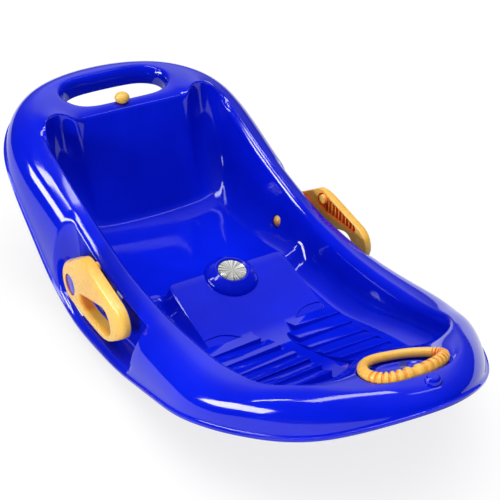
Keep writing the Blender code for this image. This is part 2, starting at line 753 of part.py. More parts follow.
def in_hole(k, row):
    """Whether the quad that starts at a station and row lies in the slot or the recess."""
    near_tail = k < HOLE_STEPS
    near_nose = k >= STATIONS - 1 - HOLE_STEPS
    return (near_tail or near_nose) and HOLE_ROWS[0] <= row < HOLE_ROWS[-1]


def build_skin():
    """The hull's top skin as one open surface of quads."""
    work = bmesh.new()
    columns = [hull_column(k) for k in range(STATIONS)]
    rows = len(columns[0])
    last = rows - 1
    count = 2 * (STATIONS - 1)
    grid = {}
    for place in range(count):
        k = min(place, count - place)
        sign = 1.0 if place == k else -1.0
        for row in range(rows):
            if k <= 2 and row in HOLE_ROWS[1:3] or k >= STATIONS - 3 and row in HOLE_ROWS[1:3]:
                continue
            point = columns[k][row]
            grid[place, row] = work.verts.new((point.x * sign, point.y, point.z))
    for place in range(count):
        after = (place + 1) % count
        k = min(place, count - 1 - place)
        for row in range(last):
            if not in_hole(k, row):
                lower = (grid[place, row], grid[after, row])
                work.faces.new(lower + (grid[after, row + 1], grid[place, row + 1]))
    walk = hole_walk(count, 0, 1)
    heights = []
    for (place, row), (x, y) in zip(walk, slot_outline(0.0)):
        heights.append(deck_height_at(min(place, count - place), y))
    rings = []
    for inset, drop in SLOT_LEVELS:
        rings.append([(x, y, height - drop) for (x, y), height in zip(slot_outline(inset), heights)])
    sink(work, grid, walk, rings, False)
    walk = hole_walk(count, STATIONS - 1, -1)
    floor = -grip_bottom() - GRIP_SEAT
    top = floor + ISLAND_HEIGHT
    edge = recess_ring(RECESS_CLEARANCE + RECESS_ROUNDING, 0.0)
    for (place, row), point in zip(walk, edge):
        point.z = deck_height_at(min(place, count - place), point.y)
    rings = [
        edge,
        [point.lerp(low, 0.4) for point, low in zip(edge, recess_ring(RECESS_CLEARANCE, 0.0))],
        recess_ring(RECESS_CLEARANCE, floor),
        island_ring(0.0, floor),
        island_ring(0.25 * ISLAND_RIM, top),
        island_ring(ISLAND_RIM, top),
        island_ring(1.5 * ISLAND_RIM, top - DISH_DEPTH),
    ]
    sink(work, grid, walk, rings, True)
    depth = len(SIDE_STATIONS) + 1
    floor = {}
    for j in range(depth + 1):
        for i in range(-END_STEPS, END_STEPS + 1):
            side = abs(i)
            if j == 0:
                k = side
            elif j == depth:
                k = STATIONS - 1 - side
            elif side == END_STEPS:
                k = END_STEPS + j
            else:
                point = floor_point(side, j)
                floor[i, j] = work.verts.new((math.copysign(point.x, i), point.y, point.z))
                continue
            floor[i, j] = grid[k if i >= 0 else (count - k) % count, last]
    for j in range(depth):
        for i in range(-END_STEPS, END_STEPS):
            work.faces.new((floor[i, j], floor[i, j + 1], floor[i + 1, j + 1], floor[i + 1, j]))
    bmesh.ops.scale(work, vec=(1.0, STRETCH, 1.0), verts=work.verts)
    bmesh.ops.recalc_face_normals(work, faces=work.faces)
    work.normal_update()
    if floor[0, depth // 2].normal.z < 0.0:
        bmesh.ops.reverse_faces(work, faces=work.faces)
    return work


def badge_place():
    """The badge's seat: its centre, tilted toward the nose."""
    return Matrix.Translation((0.0, BADGE_Y * STRETCH, BADGE_Z)) @ Matrix.Rotation(BADGE_TILT, 4, "X")


def reshape_hull(hull, name, work, look, operation):
    """Join or cut the shell, whose many crossing sheets need the manifold solver."""
    boolean(hull, add_object(name, mesh_from(work, name), look), operation, "MANIFOLD")


def add_boss(hull, look):
    """The hollow domed boss that carries the badge, down to the seat behind the step."""
    seat = BADGE_RADIUS + GAP
    outer = (
        (0.0, -BADGE_DEPTH), (seat, -BADGE_DEPTH), (seat, 0.3 * BEAD_HEIGHT),
        (seat + 0.45 * BEAD_WIDTH, BEAD_HEIGHT), (seat + BEAD_WIDTH, 0.3 * BEAD_HEIGHT),
        (BOSS_RADIUS - 0.75 * BOSS_ROUNDING, -0.2 * BOSS_DOME),
        (BOSS_RADIUS - 0.15 * BOSS_ROUNDING, -0.57 * BOSS_DOME), (BOSS_RADIUS, -BOSS_DOME),
        (BOSS_RADIUS + BOSS_DRAFT, -BOSS_DEPTH), (0.0, -BOSS_DEPTH),
    )
    work = turned(outer, 24, badge_place())
    floor = through(SEAT_LINE, BADGE_Y + BOSS_RADIUS / STRETCH) - WALL / 2.0
    lowest = badge_place().inverted()
    for vertex in work.verts:
        if (lowest @ vertex.co).z < -0.9 * BOSS_DEPTH:
            vertex.co.z = floor
    reshape_hull(hull, "boss", work, look, "UNION")
    inner = (
        (0.0, -BADGE_DEPTH - WALL), (seat, -BADGE_DEPTH - WALL),
        (BOSS_RADIUS - 0.9 * BOSS_ROUNDING, -0.57 * BOSS_DOME), (BOSS_RADIUS - WALL, -BOSS_DOME),
        (BOSS_RADIUS + BOSS_DRAFT - WALL, -1.5 * BOSS_DEPTH),
        (0.0, -1.5 * BOSS_DEPTH),
    )
    reshape_hull(hull, "boss core", turned(inner, 24, badge_place()), look, "DIFFERENCE")


def floor_height(x, y):
    """The height of the floor's facets at a place beside the middle."""
    crossings = []
    for j in range(1, len(SIDE_STATIONS) + 1):
        row = [floor_point(i, j) for i in range(END_STEPS)]
        for near, far in zip(row, row[1:]):
            if near.x <= x <= far.x:
                crossings.append(near.lerp(far, (x - near.x) / (far.x - near.x)))
                break
    for rear, front in zip(crossings, crossings[1:]):
        if front.y <= y <= rear.y:
            return front.lerp(rear, (y - front.y) / (rear.y - front.y)).z
    return seat_height(x, y)


def add_foot_wells(hull, look):
    """A shallow well for each foot, its floor level with the slope around it."""
    rows = []
    for angle in HEEL_ANGLES:
        turn = math.radians(angle)
        y = HEEL_Y + HEEL_RADIUS * math.sin(turn)
        reach = HEEL_RADIUS * math.cos(turn)
        rows.append((y, HEEL_X - reach, min(HEEL_X + reach, STEP_HALF_WIDTH)))
    for y in FOOT_WELL_ROWS:
        rows.append((y, through(TREAD_INNER, y), through(TREAD_OUTER, y)))
    for side in (-1.0, 1.0):
        work = bmesh.new()
        rings = []
        for y, inner, outer in rows:
            low = [(x, floor_height(x, y) - FOOT_WELL_DEPTH) for x in (inner, outer)]
            corners = low + [(x, z + WALL + FOOT_WELL_DEPTH) for x, z in reversed(low)]
            rings.append([work.verts.new((side * x, y * STRETCH, z)) for x, z in corners])
        for before, after in zip(rings, rings[1:]):
            for corner in range(4):
                beyond = (corner + 1) % 4
                work.faces.new((before[corner], before[beyond], after[beyond], after[corner]))
        work.faces.new(rings[0])
        work.faces.new(rings[-1])
        reshape_hull(hull, "foot well " + side_name(side), work, look, "DIFFERENCE")


def add_treads(hull, look):
    """Saw-tooth ribs moulded in the foot wells."""
    for index in range(TREAD_COUNT):
        crest = TREAD_FIRST_Y - index * TREAD_PITCH
        foot = crest + TREAD_RAMP * TREAD_PITCH
        top = through(TREAD_TOPS, crest)
        inner = through(TREAD_INNER, crest)
        outer = through(TREAD_OUTER, crest)
        buried = (WALL + FOOT_WELL_DEPTH) / 2.0
        slope = seat_height(inner, foot)
        outline = (
            (foot, slope - 0.6 * FOOT_WELL_DEPTH), (crest + TREAD_LAND, top), (crest, top - 0.2 * TREAD_LAND),
            (crest - 0.6 * TREAD_LAND, seat_height(inner, crest) - buried), (foot, slope - buried),
        )
        for side in (-1.0, 1.0):
            work = prism([(y * STRETCH, z) for y, z in outline], side * inner, side * outer, "X")
            name = "tread %d %s" % (index + 1, side_name(side))
            reshape_hull(hull, name, work, look, "UNION")


def add_runners(hull, look):
    """Two runners under the floor, flat where they rest and curved up at both ends."""
    steps = 12
    top = []
    bottom = []
    for index in range(steps + 1):
        y = blend(RUNNER_REAR_Y, RUNNER_FRONT_Y, index / steps)
        top.append((y, seat_height(RUNNER_X, y) - WALL / 2.0))
        front = max(RUNNER_FLAT_FRONT_Y - y, 0.0) / (RUNNER_FLAT_FRONT_Y - RUNNER_FRONT_Y)
        rear = max(y - RUNNER_FLAT_REAR_Y, 0.0) / (RUNNER_REAR_Y - RUNNER_FLAT_REAR_Y)
        bottom.append((y, RUNNER_FRONT_RISE * front * front + RUNNER_REAR_RISE * rear * rear))
    outline = [(y * STRETCH, z) for y, z in top + bottom[::-1]]
    for side in (-1.0, 1.0):
        start = side * RUNNER_X - RUNNER_HALF_WIDTH
        work = prism(outline, start, start + 2.0 * RUNNER_HALF_WIDTH, "X")
        reshape_hull(hull, "runner " + side_name(side), work, look, "UNION")


def across(x, y, z):
    """A frame whose Z axis points along +X."""
    return Matrix.Translation((x, y, z)) @ Matrix.Rotation(math.radians(90.0), 4, "Y")


def cylinder(radius, start, end, sides, matrix):
    """A plain round solid along a frame's Z axis."""
    return turned(((0.0, start), (radius, start), (radius, end), (0.0, end)), sides, matrix)


def wall_point(k, z):
    """Where the tub's wall at station k stands at height z, or None below its foot."""
    wall = hull_column(k)[-len(WALL_SHARES) - 2:]
    for upper, lower in zip(wall, wall[1:]):
        if upper.z >= z > lower.z:
            return lower.lerp(upper, (z - lower.z) / (upper.z - lower.z))
    return None


def wall_x(y, z):
    """How far out the side wall of the tub stands at y and height z."""
    places = [place for place in (wall_point(k, z) for k in range(STATIONS)) if place]
    for after, before in zip(places, places[1:]):
        if after.y >= y > before.y:
            return before.lerp(after, (y - before.y) / (after.y - before.y)).x
    return places[-1].x


def add_pivot_seats(hull, look):
    """Bosses and bores for the lever pivots, and the slots for the brake arms."""
    bore = BOLT_RADIUS + BRAKE_CLEARANCE
    for side in (-1.0, 1.0):
        name = side_name(side)
        place = across(0.0, PIVOT_Y * STRETCH, PIVOT_Z)
        root = side * (POCKET_WALL_X - WALL / 2.0)
        outer = cylinder(PIVOT_SEAT_RADIUS, root, side * (LEVER_INNER_X - GAP), 24, place)
        reshape_hull(hull, "outer seat " + name, outer, look, "UNION")
        top = side * BOLT_SEAT_X
        inner = cylinder(BOLT_SEAT_RADIUS, top, top + side * BOLT_SEAT_THICKNESS, 24, place)
        for vertex in inner.verts:
            if abs(vertex.co.x) < BOLT_SEAT_X + 0.5 * BOLT_SEAT_THICKNESS:
                vertex.co.x = side * (wall_x(vertex.co.y / STRETCH, vertex.co.z) + WALL / 2.0)
        reshape_hull(hull, "inner seat " + name, inner, look, "UNION")
        clear = BOLT_HEAD_RADIUS + BOLT_HEAD_CLEARANCE
        face = cylinder(clear, side * (BOLT_SEAT_X - BOLT_REACH), side * BOLT_SEAT_X, 24, place)
        reshape_hull(hull, "spot face " + name, face, look, "DIFFERENCE")
        hole = cylinder(bore, side * (BOLT_SEAT_X - BOLT_HEAD_HEIGHT), side * LEVER_OUTER_X, 16, place)
        reshape_hull(hull, "pivot bore " + name, hole, look, "DIFFERENCE")
        front = PIVOT_Y * STRETCH - ARM_SLOT_AHEAD
        rear = PIVOT_Y * STRETCH + ARM_SLOT_BEHIND
        outline = (
            (front, 0.0), (rear, 0.0), (rear, ARM_SLOT_TOP_Z - ARM_SLOT_CORNER),
            (rear - ARM_SLOT_CORNER, ARM_SLOT_TOP_Z), (front, ARM_SLOT_TOP_Z),
        )
        slot = prism(outline, side * ARM_SLOT_INNER_X, side * ARM_SLOT_OUTER_X, "X")
        reshape_hull(hull, "arm slot " + name, slot, look, "DIFFERENCE")


def add_lug(hull, look):
    """The rounded lug in front of the towing grip."""
    profile = (
        (0.0, -LUG_BASE), (LUG_RADIUS, -LUG_BASE), (LUG_RADIUS, 0.3 * LUG_RISE),
        (0.75 * LUG_RADIUS, 0.85 * LUG_RISE), (0.4 * LUG_RADIUS, LUG_RISE), (0.0, LUG_RISE),
    )
    y = RECESS_CENTRE_Y * STRETCH - LUG_DISTANCE
    place = Matrix.Translation((0.0, y, through(CROWN_LINE, y / STRETCH)))
    reshape_hull(hull, "lug", turned(profile, 14, place), look, "UNION")


def build_hull(look):
    """The one-piece blue shell."""
    work = build_skin()
    mesh = bpy.data.meshes.new("hull")
    work.to_mesh(mesh)
    work.free()
    hull = add_object("hull", mesh, look)
    shell = hull.modifiers.new("wall", "SOLIDIFY")
    shell.thickness = WALL
    shell.offset = -1.0
    add_boss(hull, look)
    add_foot_wells(hull, look)
    add_treads(hull, look)
    add_runners(hull, look)
    add_pivot_seats(hull, look)
    add_lug(hull, look)
    hole = grip_place() @ Matrix.Translation((*CORD_HOLE_PLACE, 0.0))
    cord = cylinder(CORD_HOLE_RADIUS, -2.0 * RECESS_DEPTH - WALL, RECESS_DEPTH, 16, hole)
    reshape_hull(hull, "cord hole", cord, look, "DIFFERENCE")
    seat = turned(knob_profile(GAP), 16, knob_place())
    reshape_hull(hull, "knob seat", seat, look, "DIFFERENCE")
    return hull


def loft(outlines, side):
    """A closed solid through outlines of (a, b) pairs, each given as (distance along X, outline)."""
    work = bmesh.new()
    rings = [[work.verts.new((side * x, a, b)) for a, b in outline] for x, outline in outlines]
    for before, after in zip(rings, rings[1:]):
        for index in range(len(before)):
            beyond = (index + 1) % len(before)
            work.faces.new((before[index], before[beyond], after[beyond], after[index]))
    work.faces.new(rings[0])
    work.faces.new(rings[-1])
    return work


def inset_belt(circles, inset, step):
    """The belt outline round circles whose radii are all reduced."""
    return belt([(a, b, radius - inset) for a, b, radius in circles], math.radians(step))


def at_pivot(name, work, look):
    """Add an object whose shape is given about the pivot axis."""
    made = add_object(name, mesh_from(work, name), look)
    made.location = (0.0, PIVOT_Y * STRETCH, PIVOT_Z)
    return made


def build_lever(side, look):
    """A brake lever: loop grip, hub and the arm that reaches down to the claw."""
    name = side_name(side)
    edge = LEVER_ROUNDING
    levels = (
        (LOOP_INNER_X, EDGE_BREAK), (LOOP_INNER_X + EDGE_BREAK, 0.0), (LEVER_OUTER_X - edge, 0.0),
        (LEVER_OUTER_X - 0.50 * edge, 0.13 * edge), (LEVER_OUTER_X - 0.13 * edge, 0.50 * edge),
        (LEVER_OUTER_X, 0.95 * edge),
    )
    work = loft([(x, inset_belt(LEVER_OUTLINE, inset, 15.0)) for x, inset in levels], side)
    lever = at_pivot("brake_lever_" + name, work, look)
    end = ARM_LENGTH
    half = ARM_HALF_HEIGHT
    turn = Matrix.Rotation(ARM_ANGLE, 2)
    corners = [turn @ Vector(place) for place in ((0.0, -half), (end, -half), (end, half), (0.0, half))]
    arm = prism([tuple(place) for place in corners], side * ARM_INNER_X, side * ARM_OUTER_X, "X")
    levels = (
        (LEVER_INNER_X, EDGE_BREAK), (LEVER_INNER_X + EDGE_BREAK, 0.0),
        (LOOP_INNER_X + 2.0 * EDGE_BREAK, 0.0),
    )
    hub = loft([(x, inset_belt((LEVER_HUB,), inset, 15.0)) for x, inset in levels], side)
    floor = LOOP_INNER_X + LEVER_CORE_DEPTH + CORE_OVERLAP
    start = LOOP_INNER_X - PEG_REACH
    levels = ((start, EDGE_BREAK), (start + EDGE_BREAK, 0.0), (floor, 0.0))
    peg = loft([(x, inset_belt((LEVER_PEG,), inset, 30.0)) for x, inset in levels], side)
    start = LOOP_INNER_X - EDGE_BREAK
    levels = ((start, 0.0), (LOOP_INNER_X + LEVER_CORE_DEPTH, LEVER_CORE_DRAFT))
    core = loft([(x, inset_belt(LEVER_CORE, inset, 30.0)) for x, inset in levels], side)
    levels = (
        (start, 0.0), (LEVER_OUTER_X - 2.0 * FINGER_FLARE, 0.0),
        (LEVER_OUTER_X - 0.7 * FINGER_FLARE, -0.4 * FINGER_FLARE),
        (LEVER_OUTER_X + 0.3 * FINGER_FLARE, -1.2 * FINGER_FLARE),
    )
    hole = loft([(x, inset_belt(FINGER_HOLE, inset, 22.5)) for x, inset in levels], side)
    bore = SLEEVE_RADIUS + BRAKE_CLEARANCE
    seat = SLEEVE_FACE_X - SLEEVE_FLANGE - BRAKE_CLEARANCE
    wide = SLEEVE_FLANGE_RADIUS + BRAKE_CLEARANCE
    start = LEVER_INNER_X - EDGE_BREAK
    end = LEVER_OUTER_X + EDGE_BREAK
    profile = ((0.0, start), (bore, start), (bore, seat), (wide, seat), (wide, end), (0.0, end))
    hub_bore = turned([(radius, side * x) for radius, x in profile], 20, across(0.0, 0.0, 0.0))
    parts = [
        ("core", core, "DIFFERENCE"), ("hub", hub, "UNION"), ("peg", peg, "UNION"), ("arm", arm, "UNION"),
    ]
    first = LEVER_CORE[0][0] - LEVER_RIB_START
    for index in range(LEVER_RIBS):
        y = first - index * LEVER_RIB_PITCH
        top = through(LEVER_CORE_TOP, y)
        bottom = through(LEVER_CORE_FLOOR, y)
        half = LEVER_RIB_THICKNESS / 2.0
        outline = ((y - half, bottom), (y + half, bottom), (y + half, top), (y - half, top))
        rib = prism(outline, side * (LOOP_INNER_X + LEVER_RIB_SET_IN), side * floor, "X")
        parts.append(("rib %d" % (index + 1), rib, "UNION"))
    parts += [("finger hole", hole, "DIFFERENCE"), ("hub bore", hub_bore, "DIFFERENCE")]
    for part, shape, operation in parts:
        tool = at_pivot(part + " " + name, shape, look)
        boolean(lever, tool, operation)
    return lever


def build_claw(side, steel):
    """The steel claw: a plate on the arm's outer face, bent over its upper face and toothed."""
    name = side_name(side)
    outer = ARM_OUTER_X + GAP + CLAW_THICKNESS
    low = ARM_HALF_HEIGHT + GAP
    outline = [(outer, CLAW_START)]
    pitch = (outer - CLAW_INNER_X) / CLAW_TEETH
    for index in range(CLAW_TEETH):
        x = outer - index * pitch
        outline += [(x, CLAW_TIP), (x - pitch / 2.0, CLAW_ROOT)]
    outline += [(CLAW_INNER_X, CLAW_TIP), (CLAW_INNER_X, CLAW_START)]
    web = prism([(side * x, s) for x, s in outline], low, low + CLAW_THICKNESS, "Z")
    top = low + CLAW_THICKNESS / 2.0
    side_outline = (
        (CLAW_START, -ARM_HALF_HEIGHT), (CLAW_ROOT, -ARM_HALF_HEIGHT), (CLAW_ROOT, top), (CLAW_START, top),
    )
    plate = prism(side_outline, side * (ARM_OUTER_X + GAP), side * outer, "X")
    turn = Matrix.Rotation(ARM_ANGLE, 4, "X")
    bmesh.ops.transform(web, matrix=turn, verts=web.verts)
    bmesh.ops.transform(plate, matrix=turn, verts=plate.verts)
    claw = at_pivot("brake_claw_" + name, web, steel)
    tool = at_pivot("claw plate " + name, plate, steel)
    boolean(claw, tool, "UNION")
    return claw


def rivet_profile(spare):
    """Half section of a claw rivet along +X: buried shank and domed head."""
    face = ARM_OUTER_X + GAP + CLAW_THICKNESS + GAP
    end = ARM_OUTER_X - RIVET_DEPTH - spare
    return (
        (0.0, end), (RIVET_RADIUS + spare, end), (RIVET_RADIUS + spare, face), (RIVET_HEAD_RADIUS, face),
        (RIVET_HEAD_RADIUS * 0.6, face + RIVET_HEAD_HEIGHT), (0.0, face + RIVET_HEAD_HEIGHT),
    )


def rivet_place(distance):
    """A frame whose Z axis is a rivet's axis, about the pivot."""
    return Matrix.Rotation(ARM_ANGLE, 4, "X") @ across(0.0, distance, 0.0)


def build_rivets(side, lever, claw, steel):
    """Two rivets that hold the claw on the arm."""
    name = side_name(side)
    for index, distance in enumerate(RIVET_PLACES):
        place = rivet_place(distance)
        shape = turned([(radius, side * x) for radius, x in rivet_profile(0.0)], 12, place)
        at_pivot("claw_rivet_%s_%d" % (name, index + 1), shape, steel)
        cut = turned([(radius, side * x) for radius, x in rivet_profile(GAP)], 12, place)
        tool = at_pivot("rivet hole %d %s" % (index + 1, name), cut, steel)
        boolean(lever, tool, "DIFFERENCE")
        boolean(claw, tool, "DIFFERENCE")


def build_pivot(side, blue, orange):
    """The blue sleeve the lever turns on and the bolt that holds it from inside the tub."""
    name = side_name(side)
    face = SLEEVE_FACE_X
    inner = LEVER_INNER_X
    sleeve_profile = (
        (BOLT_RADIUS + GAP, inner), (SLEEVE_RADIUS, inner), (SLEEVE_RADIUS, face - SLEEVE_FLANGE),
        (SLEEVE_FLANGE_RADIUS, face - SLEEVE_FLANGE), (SLEEVE_FLANGE_RADIUS, face - SLEEVE_CHAMFER),
        (SLEEVE_FLANGE_RADIUS - SLEEVE_CHAMFER, face), (0.0, face), (0.0, BOLT_END_X + GAP),
        (BOLT_RADIUS + GAP, BOLT_END_X + GAP), (BOLT_RADIUS + GAP, inner),
    )
    place = across(0.0, 0.0, 0.0)
    sleeve = turned([(radius, side * x) for radius, x in sleeve_profile], 20, place)
    bmesh.ops.remove_doubles(sleeve, verts=sleeve.verts, dist=0.00001)
    at_pivot("pivot_sleeve_" + name, sleeve, blue)
    seat = BOLT_SEAT_X - GAP
    top = seat - BOLT_HEAD_HEIGHT
    bolt_profile = [(0.0, top)]
    for across_share, height_share in BOLT_HEAD_PROFILE:
        bolt_profile.append((BOLT_HEAD_RADIUS * across_share, top + BOLT_HEAD_HEIGHT * height_share))
    bolt_profile += [
        (BOLT_HEAD_RADIUS, seat), (BOLT_RADIUS, seat), (BOLT_RADIUS, BOLT_END_X), (0.0, BOLT_END_X),
    ]
    bolt = turned([(distance, side * x) for distance, x in bolt_profile], 20, place)
    made = at_pivot("pivot_bolt_" + name, bolt, orange)
    half = BOLT_SLOT_HALF_WIDTH
    long = BOLT_HEAD_RADIUS
    outline = ((-long, -half), (long, -half), (long, half), (-long, half))
    slot = prism(outline, side * (top - half), side * (top + BOLT_SLOT_DEPTH), "X")
    bmesh.ops.transform(slot, matrix=Matrix.Rotation(BOLT_SLOT_TURN, 4, "X"), verts=slot.verts)
    boolean(made, at_pivot("bolt slot " + name, slot, orange), "DIFFERENCE")


def build_grip(look):
    """The towing grip: a closed loop of round bar, ribbed along its front."""
    work = bmesh.new()
    rings = []
    for index in range(GRIP_STEPS):
        share = index / GRIP_STEPS
        centre = grip_line(share)
        outward = grip_outward(share)
        ribbed = not GRIP_RIB_SHARES[0] < share < GRIP_RIB_SHARES[1]
        radius = grip_radius(share) - (GRIP_RIB_DEPTH if ribbed and index % 2 else 0.0)
        ring = []
        for corner in range(GRIP_SIDES):
            turn = 2.0 * math.pi * (corner + 0.5) / GRIP_SIDES
            rise = Vector((0.0, 0.0, radius * math.sin(turn)))
            ring.append(work.verts.new(centre + outward * radius * math.cos(turn) + rise))
        rings.append(ring)
    for before, after in zip(rings, rings[1:] + rings[:1]):
        for corner in range(GRIP_SIDES):
            beyond = (corner + 1) % GRIP_SIDES
            work.faces.new((before[corner], before[beyond], after[beyond], after[corner]))
    grip = add_object("tow_grip", mesh_from(work, "tow_grip"), look)
    grip.matrix_basis = grip_place()
    return grip


def build_badge(silver, clear):
    """A plain silver disc under a clear domed lens."""
    radius = BADGE_RADIUS
    floor = GAP - BADGE_DEPTH
    disc = cylinder(radius, floor, floor + DISC_THICKNESS, 32, badge_place())
    add_object("badge_disc", mesh_from(disc, "badge_disc"), silver)
    base = floor + DISC_THICKNESS + GAP
    profile = [(0.0, base), (radius, base), (radius, base + LENS_EDGE)]
    for step in (0.88, 0.70, 0.45):
        profile.append((radius * step, base + LENS_EDGE + LENS_RISE * (1.0 - step * step)))
    profile.append((0.0, base + LENS_EDGE + LENS_RISE))
    add_object("badge_lens", mesh_from(turned(profile, 32, badge_place()), "badge_lens"), clear)


def knob_place():
    """The knob's upright axis, on the slot's front edge."""
    return Matrix.Translation((KNOB_X, KNOB_Y * STRETCH, 0.0))


def knob_profile(spare):
    """Half section of the knob: a ball sunk a little into the deck, on a short stem."""
    deck = deck_height_at(0, KNOB_Y)
    middle = deck - KNOB_SINK + KNOB_RADIUS
    stem = KNOB_STEM_RADIUS + spare
    foot = deck - WALL - KNOB_STEM_REACH - spare
    ball = KNOB_RADIUS + spare
    profile = [(0.0, foot), (stem, foot), (stem, middle - math.sqrt(ball * ball - stem * stem))]
    for angle in range(45, 171, 25):
        turn = math.radians(angle)
        profile.append((ball * math.sin(turn), middle - ball * math.cos(turn)))
    profile.append((0.0, middle + ball))
    return profile


def build_knob(look):
    """The round knob on the front edge of the hand slot."""
    work = turned(knob_profile(0.0), 16, knob_place())
    add_object("hitch_knob", mesh_from(work, "hitch_knob"), look)


def build():
    """Make every piece of the sled."""
    for item in list(bpy.data.objects):
        bpy.data.objects.remove(item, do_unlink=True)
    sled = bpy.data.objects.new("sled", None)
    sled.location = (0.0, -STRETCH * (TAIL_LIP_Y + NOSE_LIP_Y) / 2.0, 0.0)
    bpy.context.scene.collection.objects.link(sled)
    blue = material("blue_plastic", BLUE, 0.18)
    orange = material("orange_plastic", ORANGE, 0.3)
    silver = material("silver_foil", SILVER, 0.3, metallic=1.0)
    steel = material("steel", STEEL, 0.35, metallic=1.0)
    clear = material("clear_plastic", CLEAR, 0.05, alpha=0.3)
    build_hull(blue)
    for side in (-1.0, 1.0):
        lever = build_lever(side, orange)
        claw = build_claw(side, steel)
        build_rivets(side, lever, claw, steel)
        build_pivot(side, blue, orange)
    build_grip(orange)
    build_badge(silver, clear)
    build_knob(orange)


build()
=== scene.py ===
"""A child's blue plastic bob sled with two orange hand brakes, in a plain white studio."""

import math

import bmesh
import bpy
from mathutils import Matrix, Vector


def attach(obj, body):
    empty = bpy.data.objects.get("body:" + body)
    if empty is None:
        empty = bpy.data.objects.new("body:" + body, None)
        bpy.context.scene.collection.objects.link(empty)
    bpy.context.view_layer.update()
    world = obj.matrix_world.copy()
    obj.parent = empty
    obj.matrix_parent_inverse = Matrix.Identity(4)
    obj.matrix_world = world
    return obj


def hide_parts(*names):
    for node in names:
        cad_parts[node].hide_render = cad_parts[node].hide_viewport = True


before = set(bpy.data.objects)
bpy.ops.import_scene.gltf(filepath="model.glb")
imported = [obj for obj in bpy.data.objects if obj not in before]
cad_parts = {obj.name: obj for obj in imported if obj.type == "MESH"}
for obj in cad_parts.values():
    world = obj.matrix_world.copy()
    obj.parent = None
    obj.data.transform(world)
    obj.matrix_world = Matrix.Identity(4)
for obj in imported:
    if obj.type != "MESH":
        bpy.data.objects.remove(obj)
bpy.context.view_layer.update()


# Studio: white paper under a bright ceiling, in a room that is dark behind the camera.
# Strip lights on the left and above draw the long streaks on the gloss, and a low one,
# which the gloss doesn't show, fills the near side.

PAPER_REACH, PAPER_DROP, PAPER_GLOW = 9.0, 0.0004, 0.80
TOOTH_PER_METRE = 60.0
CEILING_POWER, CEILING_LEVEL = 4.0, 3.4
BRIGHT_WAY = (0.41, 0.71, 0.574)
ROOM_LIGHT = ((0.0, 0.01), (0.45, 0.03), (0.70, 0.07), (0.82, 0.12), (0.90, 0.30), (0.96, 0.72), (1.0, 0.85))
LAMP_AIM = (0.0, 0.0, 0.1)
# Each lamp: name, place, width, length, watts, turned to the sled, lights matt surfaces, shows in gloss
LAMPS = (
    ("overhead_box", (0.86, 0.05, 2.24), 0.15, 1.1, 1.6, True, True, True),
    ("low_strip", (-2.87, 0.93, 1.16), 2.0, 0.58, 65.0, True, False, True),
    ("ceiling_strip", (-0.74, 0.60, 2.50), 2.2, 0.36, 25.0, False, False, True),
    ("corner_strip", (-2.10, 1.32, 2.45), 0.22, 0.95, 11.0, True, False, True),
    ("side_fill", (-2.6, -0.9, 0.30), 1.6, 0.35, 47.0, True, True, False),
)
CAMERA_PLACE, CAMERA_LENS, SENSOR_WIDTH = (-0.6318, -1.0790, 0.8552), 82.8, 36.0
CAMERA_TURN, CAMERA_LIFT = math.radians(-31.42), math.radians(30.82)
WHITE = (1.0, 1.0, 1.0, 1.0)

def linear(code):
    """A linear colour from an sRGB hex code."""
    channels = [int(code[i:i + 2], 16) / 255.0 for i in (0, 2, 4)]
    return tuple(c / 12.92 if c <= 0.04045 else ((c + 0.055) / 1.055) ** 2.4 for c in channels) + (1.0,)


def node(tree, kind, inputs=(), **settings):
    """Add a node with its settings, then link or set each (socket, source or value) pair."""
    made = tree.nodes.new("ShaderNode" + kind)
    for key, value in settings.items():
        if hasattr(made, key):
            setattr(made, key, value)
        else:
            made.inputs[key.replace("_", " ")].default_value = value
    for socket, source in inputs:
        if isinstance(source, bpy.types.NodeSocket):
            tree.links.new(source, made.inputs[socket])
        else:
            made.inputs[socket].default_value = source
    return made


def new_tree(name):
    """A material with an empty node tree."""
    look = bpy.data.materials.new(name)
    look.use_nodes = True
    look.node_tree.nodes.clear()
    return look, look.node_tree


# Matt paper with a faint tooth, drawn coarser than real paper's so that it shows
floor_look, tree = new_tree("studio_paper")
grain = node(
    tree, "TexNoise", [("Vector", node(tree, "TexCoord").outputs["Object"])], Scale=TOOTH_PER_METRE, Detail=3.0,
)
tooth = node(tree, "Bump", [("Height", grain.outputs["Fac"])], Strength=0.02, Distance=0.001)
seen = node(tree, "LightPath")
dimmed = node(
    tree, "MixRGB", [("Fac", seen.outputs["Is Diffuse Ray"])], Color1=linear("F8F8F8"), Color2=linear("A8A8A8"),
)
paper = node(tree, "BsdfDiffuse", [("Color", dimmed.outputs[0]), ("Normal", tooth.outputs[0])])
glow = node(tree, "Emission", Color=WHITE, Strength=1.0)
mirrored = node(
    tree, "Math", [(0, seen.outputs["Is Glossy Ray"]), (1, seen.outputs["Is Transmission Ray"])],
    operation="MAXIMUM",
)
lifted = node(tree, "Math", [(0, seen.outputs["Is Camera Ray"]), (1, PAPER_GLOW)], operation="MULTIPLY")
share = node(tree, "Math", [(0, mirrored.outputs[0]), (1, lifted.outputs[0])], operation="MAXIMUM")
mixed = node(tree, "MixShader", [(0, share.outputs[0]), (1, paper.outputs[0]), (2, glow.outputs[0])])
node(tree, "OutputMaterial", [("Surface", mixed.outputs[0])])
work = bmesh.new()
bmesh.ops.create_grid(work, x_segments=1, y_segments=1, size=PAPER_REACH)
bmesh.ops.translate(work, verts=work.verts, vec=(0.0, 0.0, -PAPER_DROP))
paper_mesh = bpy.data.meshes.new("studio_floor")
work.to_mesh(paper_mesh)
work.free()
paper_mesh.materials.append(floor_look)
studio_floor = bpy.data.objects.new("studio_floor", paper_mesh)
bpy.context.scene.collection.objects.link(studio_floor)

